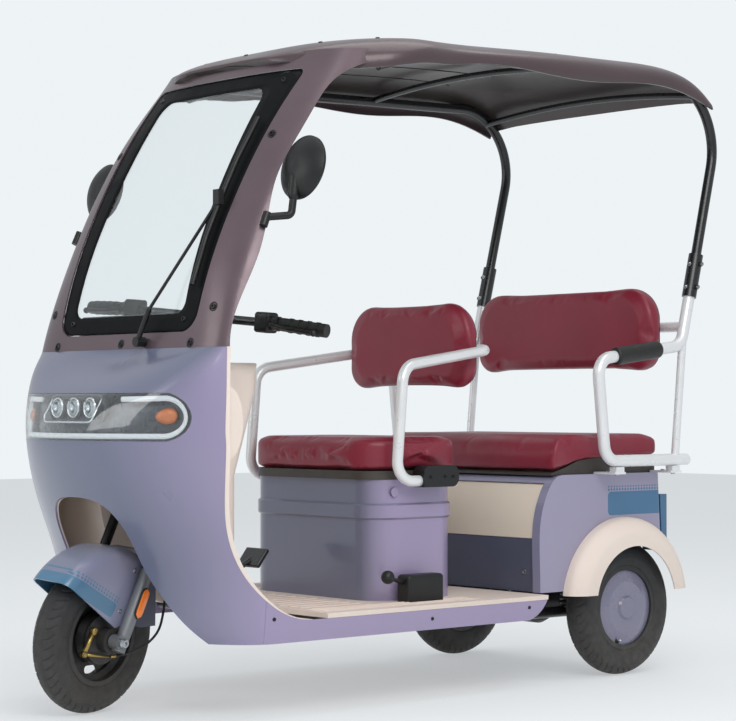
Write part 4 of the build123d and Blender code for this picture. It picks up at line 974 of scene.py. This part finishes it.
@dataclass
class Upholstery:
    """Cushions and backrests, with their piping."""

    piping: float = 2.6
    high_corner: float = 96.0
    low_corner: float = 58.0
    piping_place: float = 0.20

    def rim(self, node: str) -> list[Vector]:
        """A rectangle with rounder upper corners round a backrest, in metres, at the piping's depth."""
        low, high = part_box(node)
        x = low.x + (high.x - low.x) * self.piping_place
        y, z = (high.y - low.y) / 2, (high.z - low.z) / 2
        centre, top, bottom = (low + high) / 2, self.high_corner * MM, self.low_corner * MM
        points = []
        for side, rise, corner, start in ((1, 1, top, 0), (-1, 1, top, 90), (-1, -1, bottom, 180),
                                          (1, -1, bottom, 270)):
            for step in range(17):
                angle = math.radians(start + 90 * step / 16)
                points.append(Vector((x, centre.y + side * (y - corner) + corner * math.cos(angle),
                                      centre.z + rise * (z - corner) + corner * math.sin(angle))))
        return points

    def build(self) -> None:
        """Builds the four pads and the cord that edges the backrests."""
        Pad("driver_cushion", "driver_seat", "driver_seat_pad", 5.0, (7, 7, 4), 9).build()
        Pad("bench_cushion", "bench_seat", "bench_seat_pad", 7.0, (7, 7, 5), 10).build()
        backs = (Pad("driver_backrest", "chassis", "driver_back_pad", 5.0, (7, 6, 6), 9, False),
                 Pad("rear_backrest", "chassis", "bench_back_pad", 6.0, (8, 6, 6), 10, False))
        for back in backs:
            cover = bmesh.new()
            cover.from_mesh(back.build().data)
            tree = BVHTree.FromBMesh(cover)
            cover.free()
            edge = self.rim(back.node)
            centre = sum(edge, Vector()) / len(edge)
            loop = [tree.ray_cast(centre + (point - centre) * 1.3, centre - point)[0] or point for point in edge]
            mesh = sweep(loop, self.piping * MM, closed=True, sides=10)
            put(back.node + "_piping", mesh, "chassis", PIPING)

    def dress(self) -> None:
        """Finishes the lids as the dark band below the cushions, and the arm pads."""
        dress(VINYL_BAND, "driver_seat_base", "bench_base")
        dress(SOFT_BLACK, "arm_pads", "grips")


# ------------------------------------------------------------------ front body
@dataclass
class Headlamp:
    """The wrap-round lamp's light guide, bezel, lens rings and indicators. Lengths are in millimetres."""

    band_half: float = 345.0
    band_height: float = 706.0
    guide_inset: float = 11.0
    lens_height: float = 727.0
    lens_pitch: float = 69.0
    lens_radius: float = 24.0
    end_radius: float = 56.0
    amber_place: tuple[float, float] = (291.0, 709.0)
    amber_half: tuple[float, float] = (25.0, 24.0)

    def laid(self, line: Sequence[tuple[float, float]], depth: float) -> list[Vector]:
        """Points given across and up, laid on the cover's outside and sunk by a depth."""
        skin = Skin("headlamp_cover")
        return skin.drape([at(1800, y, z) for y, z in line], -AHEAD, -depth * MM)

    def guide(self) -> list[tuple[float, float]]:
        """The light guide's line: along the bottom, round both ends and back over them."""
        end, radius = self.band_half - self.end_radius, self.end_radius - self.guide_inset
        low, high = self.band_height - radius, self.band_height + radius
        half = [(y, low) for y in np.linspace(0, end, 40)]
        half += [(end + radius * math.sin(a), self.band_height - radius * math.cos(a))
                 for a in np.linspace(0.1, math.pi - 0.1, 22)]
        half += [(y, high) for y in np.linspace(end, 170, 16)]
        return [(-y, z) for y, z in reversed(half[1:])] + half

    def build(self) -> None:
        """Adds the lamp's inner parts behind its cover."""
        line = self.laid(self.guide(), 9)
        put("lamp_light_guide", sweep(line, 6.5 * MM, 3.5 * MM, up=Vector((1, 0, 0.01))), "chassis",
            DIFFUSER)
        self.lenses()
        half, low, high, corner = self.lens_pitch + 36, self.lens_height - 33, self.lens_height + 28, 16
        u_line = [(-half, high), (-half, low + corner)]
        u_line += [(-half + corner - corner * math.cos(a), low + corner - corner * math.sin(a))
                   for a in np.linspace(0, math.pi / 2, 8)]
        u_line += [(-y, z) for y, z in reversed(u_line)]
        put("lamp_bezel", sweep(self.laid(u_line, 5.5), 2.6 * MM), "chassis", CHROME)
        for side, sign in (("left", 1), ("right", -1)):
            self.indicator(side, sign)

    def lenses(self) -> None:
        """Three projector lenses on the tray, each a clear dome in a bright ring over a dark throat."""
        tray = Skin("headlamp_unit")
        rings, domes, throats = [], [], []
        for step in (-1, 0, 1):
            found = tray.hit(at(1800, step * self.lens_pitch, self.lens_height), -AHEAD)
            if not found:
                continue
            seat, radius = found[0] + Vector((2.5 * MM, 0, 0)), self.lens_radius * MM
            mouth = radius - 0.0042
            rings.append(lathe([(radius - 0.0035, 0.0), (radius - 0.0035, 0.003), (radius - 0.0015, 0.0055),
                                (radius + 0.001, 0.0035), (radius + 0.0015, -0.002)], seat, AHEAD, 48))
            domes.append(lathe([(0.0, 0.0095), (0.007, 0.0088), (0.014, 0.0062), (mouth, 0.0012), (mouth, 0.0002)],
                               seat, AHEAD, 40))
            throats.append(lathe([(0.0, -0.0004), (mouth, -0.0004), (mouth, -0.0024)], seat, AHEAD, 40))
        put("lamp_lens_rings", joined("rings", rings), "chassis", CHROME)
        put("lamp_lens_throats", joined("throats", throats), "chassis", BLACK_PLASTIC)
        put("lamp_lens_domes", joined("domes", domes), "chassis", LENS)

    def indicator(self, side: str, sign: int) -> None:
        """A domed amber lens in the lamp's end, on the tray, narrower towards the middle."""
        rows, cols = 12, 28
        (middle_y, middle_z), (half_long, half_tall) = self.amber_place, self.amber_half
        points = []
        for i in range(rows):
            share = (i + 1) / rows
            ring = []
            for j in range(cols):
                angle = 2 * math.pi * j / cols
                bulge = abs(math.cos(angle)) ** 0.9 * (1 if math.cos(angle) > 0 else -1)
                tall = half_tall * (0.66 + 0.17 * (1 + math.cos(angle)))
                ring.append((sign * (middle_y + half_long * share * bulge), middle_z + tall * share * math.sin(angle)))
            points += self.laid(ring, 9 + 13 * share ** 3)
        if len(points) != rows * cols:
            log.info("indicator %s left out: the cover is too small", side)
            return
        faces = [*lofted(rows, cols), tuple(range(cols)), tuple((rows - 1) * cols + j for j in range(cols))]
        put(f"lamp_indicator_{side}", mesh_of("indicator", points, faces), "chassis", AMBER)

    def dress(self) -> None:
        """Finishes the tray and the cover."""
        dress(LAMP_TRAY, "headlamp_unit")
        dress(LENS, "headlamp_cover")


@dataclass
class Screen:
    """The windshield's black border and its surround's trim screws. Lengths are in millimetres."""

    low: float = 905.0
    high: float = 1552.0
    half_low: float = 285.0
    half_high: float = 300.0
    edge: float = 1.5
    border: tuple[float, float, float, float] = (42.0, 88.0, 58.0, 44.0)
    outer_corners: tuple[float, float] = (49.0, 21.0)
    inner_corners: tuple[float, float] = (30.0, 40.0)
    shares: tuple[float, ...] = (0.0, 0.25, 0.5, 0.75, 1.0)
    layers: tuple[float, float] = (0.2, 0.7)

    def outline(self, top: float, side_top: float, side_low: float, bottom: float,
                corners: tuple[float, float]) -> list[tuple[float, float]]:
        """The opening's outline from the front, drawn in by a border.

        Args:
            top: the border's width at the top.
            side_top: its width at the upper end of each side.
            side_low: its width at the lower end of each side.
            bottom: its width at the bottom.
            corners: radii of the lower and upper corners.

        Returns:
            Points across and up, counter-clockwise.
        """
        points = []
        for sign_y, sign_z, start in ((1, 1, 0), (-1, 1, 90), (-1, -1, 180), (1, -1, 270)):
            upper = sign_z > 0
            corner = corners[1] if upper else corners[0]
            z = self.high - top - corner if upper else self.low + bottom + corner
            half = (self.half_high - side_top) if upper else (self.half_low - side_low)
            y = sign_y * (half - corner)
            for step in range(17):
                angle = math.radians(start + 90 * step / 16)
                points.append((y + corner * math.cos(angle), z + corner * math.sin(angle)))
        return self.evened(points)

    def evened(self, points: Sequence[tuple[float, float]]) -> list[tuple[float, float]]:
        """The same loop with its long straight runs cut into short ones, 12 to a run."""
        made = []
        for i, (y, z) in enumerate(points):
            made.append((y, z))
            if i % 17 == 16:
                next_y, next_z = points[(i + 1) % len(points)]
                made += [(y + (next_y - y) * t, z + (next_z - z) * t) for t in np.linspace(0, 1, 14)[1:-1]]
        return made

    def build(self) -> None:
        """Lays the border on the pane and sets the surround's screws."""
        skin = Skin("windshield")
        outer = self.outline(self.edge, self.edge, self.edge, self.edge, self.outer_corners)
        inner = self.outline(*self.border, self.inner_corners)
        rows = []
        for share in self.shares:
            rows.append([skin.hit(at(1800, y0 + (y1 - y0) * share, z0 + (z1 - z0) * share), -AHEAD)
                         for (y0, z0), (y1, z1) in zip(outer, inner)])
        if any(hit is None for ring in rows for hit in ring):
            log.info("border left out: some points miss the pane")
        else:
            put("screen_border", self.sheet(rows), "chassis", FRIT)
        self.screws()

    def sheet(self, rows: Sequence[Sequence[tuple[Vector, Vector]]]) -> Mesh:
        """A thin closed sheet through rings of surface points, its two layers proud of them."""
        count, n = len(rows[0]), len(rows)
        points = [hit[0] + hit[1] * lift * MM for lift in self.layers for ring in rows for hit in ring]
        faces = lofted(n, count) + lofted(n, count, start=n * count)
        for i in (0, n - 1):
            for j in range(count):
                k = (j + 1) % count
                a, b = i * count, (n + i) * count
                faces.append((a + j, a + k, b + k, b + j))
        return mesh_of("border", points, faces)

    def screws(self) -> None:
        """Button heads round the surround."""
        skin = Skin("windshield_frame")
        heads = Fasteners("surround_screws", "chassis", 7.5, 4.0, DARK_STEEL, "black_plastic")
        cups = []
        spots = [(0, 881), (280, 879), (-280, 879), (334, 962), (-334, 962), (317, 1379), (-317, 1379),
                 (299, 1528), (-299, 1528)]
        for y, z in spots:
            hit = skin.hit(at(1800, y, z), -AHEAD)
            if hit:
                heads.seat(hit[0] + hit[1] * 1.5 * MM, hit[1])
                cups.append(lathe([(0.0115, -0.002), (0.0115, 0.0012), (0.0095, 0.0018), (0.0085, 0.0004),
                                   (0.0085, -0.002)], hit[0], hit[1], 28))
        pane = Skin("windshield")
        for y, z in ((251, 1524), (-251, 1524), (233, 936), (-233, 936)):
            heads.land(pane, at(1800, y, z), -AHEAD, 2.2)
        heads.build()
        put("surround_screw_cups", joined("cups", cups), "chassis", DARK_STEEL)

    def dress(self) -> None:
        """Finishes the pane, surround, wiper and cowl."""
        dress(ACRYLIC, "windshield")
        dress(MAUVE, "windshield_frame")
        dress(BLACK_PLASTIC, "wiper", "dash_cowl")


@dataclass
class FrontBody:
    """The nose, sills, leg shield and footboard. Lengths are in millimetres."""

    rib_rows: tuple[float, ...] = (306.0, 320.0, 334.0, 348.0, 362.0)
    rib_run: tuple[float, float] = (560.0, 1120.0)

    def build(self) -> None:
        """Sets the sill screws and the footboard's ribs."""
        heads = Fasteners("sill_screws", "chassis", 5.0, 2.2, DARK_STEEL, "black_plastic")
        skin = Skin("side_skirts")
        for x, z in ((1262, 236), (760, 205), (420, 212)):
            for sign in (1, -1):
                heads.land(skin, at(x, sign * 600, z), Vector((0, -sign, 0)), 0.8)
        heads.build()
        self.ribs()

    def ribs(self) -> None:
        """Raised ribs along both edges of the footboard."""
        skin, made = Skin("floor_board"), []
        for level in self.rib_rows:
            for sign in (1, -1):
                line = skin.drape([at(x, sign * level, 420) for x in np.linspace(*self.rib_run, 30)],
                                  -UP, 0.4 * MM)
                if len(line) > 2:
                    made.append(sweep(line, 2.6 * MM, 1.4 * MM, up=UP, sides=8))
        put("floor_ribs", joined("ribs", made), "chassis", CREAM)

    def dress(self) -> None:
        """Finishes the shells."""
        dress(PEARL, "front_shell", "side_skirts", "driver_seat_box")
        dress(FENDER_PEARL, "front_fender")
        dress(CREAM, "leg_shield", "floor_board")
        # the liner's paler cream is partly painted light for the shaded arch
        dress(LINER_CREAM_LIGHTENED_FOR_SHADE, "arch_liner")
        dress(BLACK_PLASTIC, "battery_pack", "hand_brake", "arm_brackets")
        dress(DARK_PANEL, "rear_guard")
        dress(BLACK_COAT, "brake_pedal", "chassis_frame", "rear_suspension")
        dress(CASTING, "rear_axle")


# ------------------------------------------------------------------ steering
@dataclass
class Steering:
    """Reflectors, axle nuts, guard bolts, brake cable and the plated brake arm on the steered parts."""

    leg_out: float = 97.0
    reflector_rings: int = 12
    reflector_sides: int = 24

    def turned(self, mesh: Mesh) -> Mesh:
        """A mesh built straight ahead, turned to the stored lock."""
        mesh.transform(Matrix.Translation(STEER_POINT) @ Matrix.Rotation(STORED_STEER, 4, STEER_AXIS)
                       @ Matrix.Translation(-STEER_POINT))
        return mesh

    def outward(self, sign: int) -> Vector:
        """The way out along the steered axle on one side."""
        return steered(at(0, sign, 0)) - steered(at(0, 0, 0))

    def reflector(self, sign: int) -> None:
        """An amber reflector in a black holder on a fork leg's outer side."""
        side = "left" if sign > 0 else "right"
        low, high = at(1462, sign * self.leg_out, 238), at(1432, sign * self.leg_out, 306)
        steps, count = np.linspace(0.0, 1.0, self.reflector_rings), self.reflector_sides
        line = [low + (high - low) * t for t in steps]
        shape = [math.sqrt(max(0.0, 1 - abs(2 * t - 1) ** 6)) for t in steps]
        # the reflector lens takes the amber lamp finish, so it glows though it is no lamp: painted light
        for name, width, depth, lift, slot, finish in (("holder", 14.5, 5.0, 0, "black_plastic", BLACK_PLASTIC),
                                                       ("lens", 11.5, 4.0, 3.2, "lamp_clear", AMBER)):
            grow = 1.0 if name == "lens" else 1.07
            centre = (low + high) / 2
            path = [centre + (p - centre) * grow + Vector((0, sign * lift * MM, 0)) for p in line]
            mesh = sweep(path, width * MM, depth * MM, up=Vector((0, 1, 0)), sides=count)
            for i, share in enumerate(shape):
                for j in range(count):
                    index = i * count + j
                    if index < len(mesh.vertices):
                        vert = mesh.vertices[index]
                        vert.co = path[i] + (vert.co - path[i]) * max(share, 0.05)
            put(f"reflector_{name}_{side}", self.turned(mesh), "steering", finish)

    def cable(self) -> None:
        """The brake's cable, from its rod's end up along the inside of the fork leg."""
        path = smooth_path([steered(at(1496, 53, 142)), at(1440, 66, 142), at(1395, 74, 160), at(1362, 78, 190),
                            at(1345, 76, 232), at(1330, 66, 290)], 10)
        put("brake_cable", sweep(path, 3.0 * MM), "steering", SOFT_BLACK)
        sleeve = [path[0] + (path[3] - path[0]) * t for t in (0.0, 0.5, 1.0)]
        put("brake_cable_end", sweep(sleeve, 4.4 * MM), "steering", ZINC)

    def plating(self) -> None:
        """The passivated brake arm and its pull rod, as a skin over the frame's own."""
        parts = []
        for start, end, size in (((1549, 43.5, 206.5), (1579, 44, 154.5), 5.6),
                                 ((1577, 46.2, 154.2), (1502, 51.8, 142), 3.5)):
            first, last = steered(at(*start)), steered(at(*end))
            line = [first + (last - first) * t for t in (0.0, 0.5, 1.0)]
            parts.append(sweep(line, size * MM))
        out = self.outward(1)
        for spot, size in (((1549, 45, 206.5), 9.2), ((1579, 45, 154.5), 7.6)):
            parts.append(lathe([(0.0, 0.0062), (size * 0.7 * MM, 0.0062), (size * MM, 0.0045), (size * MM, -0.006)],
                               steered(at(*spot)), out, 28))
        put("brake_arm_plating", joined("plating", parts), "steering", ZINC)

    def build(self) -> None:
        """Adds the steered details."""
        self.plating()
        for sign in (1, -1):
            self.reflector(sign)
        nuts = Fasteners("axle_nuts", "steering", 12.0, 8.0, STEEL, "dark_casting", recess=0.5)
        for sign in (1, -1):
            nuts.seat(steered(at(1505, sign * 104, 182.5)), self.outward(sign))
        nuts.build()
        bolts = Fasteners("guard_bolts", "steering", 5.5, 3.0, STEEL, "dark_casting")
        for sign in (1, -1):
            for x, z in ((1486, 252), (1442, 345)):
                bolts.seat(steered(at(x, sign * 64.2, z)), self.outward(sign))
        bolts.build()
        self.cable()

    def dress(self) -> None:
        """Finishes the fork, bar and controls."""
        dress(CASTING, "brake_plate")
        dress(FORK_COAT, "fork")
        dress(BLACK_COAT, "handlebar")
        dress(BLACK_PLASTIC, "bar_controls")


# ------------------------------------------------------------------ rear and canopy
@dataclass
class Canopy:
    """The roof's underside beads and screws, sleeve bolts and mirror glasses. Lengths are in millimetres."""

    bead_rows: tuple[float, ...] = (-255.0, -85.0, 85.0, 255.0)
    mirror_centre: tuple[float, float, float] = (1187.0, 411.0, 1293.0)
    mirror_tilt: float = 12.0
    glass_lift: float = 6.2
    post_y: float = 409.0
    post_lean: float = 0.258

    def beads(self) -> None:
        """Dark drainage beads that run along the roof's underside."""
        skin, rows = Skin("roof"), []
        for y in self.bead_rows:
            line = [(x, y) for x in np.linspace(130, 860, 40)]
            tail, tip = [(60, y * 1.12), (95, y * 1.03)], [(895, y * 1.03), (930, y * 1.12)]
            path = skin.drape([at(x, yy, 1500) for x, yy in tail + line + tip], UP, 0.6 * MM)
            rows.append(sweep(path, 3.2 * MM, 1.6 * MM, up=UP))
        put("roof_beads", joined("beads", rows), "chassis", BLACK_PLASTIC)

    def screws(self) -> None:
        """Screws down through the roof and through the sleeves."""
        skin = Skin("roof")
        heads = Fasteners("roof_screws", "chassis", 6.0, 3.0, DARK_STEEL, "silver_tube")
        heads.land(skin, at(1035, 0, 1800), -UP, 1.0)
        for x, y in ((985, 235), (880, 330), (250, 330), (-150, 330)):
            for sign in (1, -1):
                heads.land(skin, at(x, sign * y, 1800), -UP, 1.0)
        bar = Skin("roof_bars")
        for sign in (1, -1):
            heads.land(bar, at(-227, sign * 367, 1300), UP, 1.5)
        heads.build()
        bolts = Fasteners("sleeve_bolts", "chassis", 5.5, 4.0, STEEL, "silver_tube", recess=0.5)
        for sign in (1, -1):
            for z in (1060, 1124):
                x = -199 - self.post_lean * (z - 1032)
                bolts.seat(at(x, sign * 437, z), Vector((0, sign, 0)))
                bolts.seat(at(x + 21, sign * self.post_y, z), Vector((1, 0, -0.25)))
        bolts.build()

    def glasses(self) -> None:
        """The silvered glass in each mirror's rear face."""
        tilt, (x, y, z) = math.radians(self.mirror_tilt), self.mirror_centre
        facing = Vector((-math.cos(tilt), 0, -math.sin(tilt)))
        for side, sign in (("left", 1), ("right", -1)):
            centre = at(x, sign * y, z) + facing * self.glass_lift * MM
            glass = lathe([(0.0, 0.0008), (0.070, 0.0008), (0.071, 0.0), (0.071, -0.002)], centre, facing, 64)
            put(f"mirror_glass_{side}", glass, "chassis", MIRROR)

    def build(self) -> None:
        """Adds the canopy's details."""
        self.beads()
        self.screws()
        self.glasses()

    def dress(self) -> None:
        """Finishes the canopy and its posts."""
        dress(ROOF_MAUVE, "roof")
        dress(BLACK_COAT, "canopy_frame", "canopy_sleeves", "roof_bars")
        dress(BLACK_PLASTIC, "mirror_left", "mirror_right")


class RearBody:
    """The tub, its guards, panels, lamps and the silver frames around the seats."""

    def build(self) -> None:
        """Sets the bracket bolts and the panel's screws."""
        heads = Fasteners("bracket_bolts", "chassis", 6.5, 4.0, STEEL, "silver_tube")
        for sign in (1, -1):
            for x in (-130, 96):
                heads.seat(at(x, sign * 372, 555), UP)
                heads.seat(at(x, sign * 409, 546.5), -UP)
        heads.build()
        arms = Fasteners("arm_bracket_screws", "chassis", 4.5, 2.4, DARK_STEEL, "silver_tube")
        for sign in (1, -1):
            for x in (612, 640, 690):
                arms.seat(at(x, sign * 319, 552), Vector((0, sign, 0)))
        arms.build()
        self.lock()
        skin = Skin("lower_panel")
        panel = Fasteners("panel_screws", "chassis", 8.0, 4.0, STEEL, "silver_tube")
        for sign in (1, -1):
            panel.land(skin, at(600, sign * 285, 292), -AHEAD, 1.0)
        panel.build()

    def lock(self) -> None:
        """The bench lid's key lock: a black rim round a bright barrel."""
        hit = Skin("rear_body").hit(at(700, -259, 489), -AHEAD)
        if not hit:
            return
        rim = lathe([(0.0075, 0.0), (0.0075, 0.0028), (0.010, 0.0035), (0.0135, 0.002), (0.0142, -0.002)], hit[0],
                    hit[1], 32)
        put("lock_rim", rim, "chassis", BLACK_PLASTIC)
        barrel = lathe([(0.0, 0.0016), (0.0064, 0.0014), (0.0068, -0.002)], hit[0], hit[1], 28)
        put("lock_barrel", barrel, "chassis", STEEL)

    def dress(self) -> None:
        """Finishes the tub, guards, panels, lamps and tubes."""
        dress(TUB_PEARL, "rear_body")
        dress(CREAM, "rear_fenders")
        dress(WARM_CREAM, "under_seat_panel")
        dress(DARK_PANEL, "lower_panel")
        dress(BLUE_LENS, "tail_lamps")
        dress(SILVER, "driver_arm_frame", "side_frame_left", "side_frame_right", "frame_brackets", "backrest_bar")


# ------------------------------------------------------------------ studio
@dataclass
class Studio:
    """The floor, soft lamps and camera."""

    eye: tuple[float, float, float] = (3.7154, 4.3323, 0.7357)
    heading: float = 228.92
    pitch: float = 1.16
    focal: float = 105.65
    world: float = 0.62
    key: float = 95.0
    fill: float = 40.0
    top: float = 60.0

    def floor(self) -> None:
        """A pale floor that keeps the object's shadow."""
        mesh = mesh_of("floor", [(-14, -14, 0), (14, -14, 0), (14, 14, 0), (-14, 14, 0)], [(0, 1, 2, 3)])
        ground = linked("studio_floor", mesh)
        sheet = bpy.data.materials.new("pale studio floor")
        sheet.use_nodes = True
        tree = sheet.node_tree
        tree.nodes.clear()
        paint = add(tree, "ShaderNodeBsdfDiffuse", {"Color": linear("#EDF1F3")})
        glow = add(tree, "ShaderNodeEmission", {"Color": linear("#F3F6F8"), "Strength": 1.0})
        ray = add(tree, "ShaderNodeLightPath")
        seen = maths(tree, "MAXIMUM", ray.outputs["Is Camera Ray"], ray.outputs["Is Glossy Ray"])
        seen = maths(tree, "MAXIMUM", seen, ray.outputs["Is Transmission Ray"])
        share = maths(tree, "MULTIPLY", seen, 0.45)
        mixed = add(tree, "ShaderNodeMixShader", {0: share, 1: paint, 2: glow})
        add(tree, "ShaderNodeOutputMaterial", {"Surface": mixed})
        mesh.materials.append(sheet)

    def sky(self) -> None:
        """An even pale world that lights the object plainly and shows nearly white."""
        world = bpy.data.worlds.new("studio air")
        bpy.context.scene.world = world
        world.use_nodes = True
        tree = world.node_tree
        tree.nodes.clear()
        light = add(tree, "ShaderNodeBackground", {"Color": linear("#F2F6FA"), "Strength": self.world})
        shown = add(tree, "ShaderNodeBackground", {"Color": linear("#EEF3F6"), "Strength": 1.0})
        ray = add(tree, "ShaderNodeLightPath")
        seen = maths(tree, "MAXIMUM", ray.outputs["Is Camera Ray"], ray.outputs["Is Transmission Ray"])
        mixed = add(tree, "ShaderNodeMixShader", {0: seen, 1: light, 2: shown})
        add(tree, "ShaderNodeOutputWorld", {"Surface": mixed})

    def lamp(self, name: str, spot: Sequence[float], aim: Sequence[float], size: tuple[float, float],
             power: float) -> None:
        """A rectangular soft lamp at a spot, aimed at a point."""
        data = bpy.data.lights.new(name, "AREA")
        data.shape = "RECTANGLE"
        data.size, data.size_y = size
        data.energy = power
        data.color = (1.0, 0.985, 0.97)
        lamp = linked(name, data)
        lamp.location = Vector(spot)
        lamp.rotation_euler = (Vector(aim) - Vector(spot)).to_track_quat("-Z", "Y").to_euler()

    def camera(self) -> None:
        """The camera at the viewing angle."""
        data = bpy.data.cameras.new("view")
        data.lens = self.focal
        data.sensor_width = 36.0
        data.sensor_fit = "HORIZONTAL"
        data.clip_end = 100
        camera = linked("view", data)
        camera.location = Vector(self.eye)
        turn, rise = math.radians(self.heading), math.radians(self.pitch)
        ahead = Vector((math.cos(turn) * math.cos(rise), math.sin(turn) * math.cos(rise), math.sin(rise)))
        camera.rotation_euler = ahead.to_track_quat("-Z", "Y").to_euler()
        bpy.context.scene.camera = camera

    def build(self) -> None:
        """Sets up the studio."""
        self.floor()
        self.sky()
        self.lamp("key", (2.2, 3.8, 3.6), (0.0, 0.0, 0.7), (3.2, 2.2), self.key)
        self.lamp("fill", (5.0, -1.8, 2.4), (0.2, 0.0, 0.8), (2.6, 2.6), self.fill)
        self.lamp("top", (-0.6, 0.4, 4.6), (0.0, 0.0, 0.5), (4.0, 3.0), self.top)
        self.camera()
        bpy.context.scene.view_settings.view_transform = "Standard"


def main() -> None:
    """Builds and dresses each sub-assembly in order."""
    Studio().build()
    for part in (Tyres(), Wheels(), Upholstery(), Headlamp(), Screen(), FrontBody(), Steering(), Canopy(),
                 RearBody()):
        log.info("building %s", type(part).__name__)
        part.build()
        if hasattr(part, "dress"):
            part.dress()


if __name__ == "__main__":
    main()
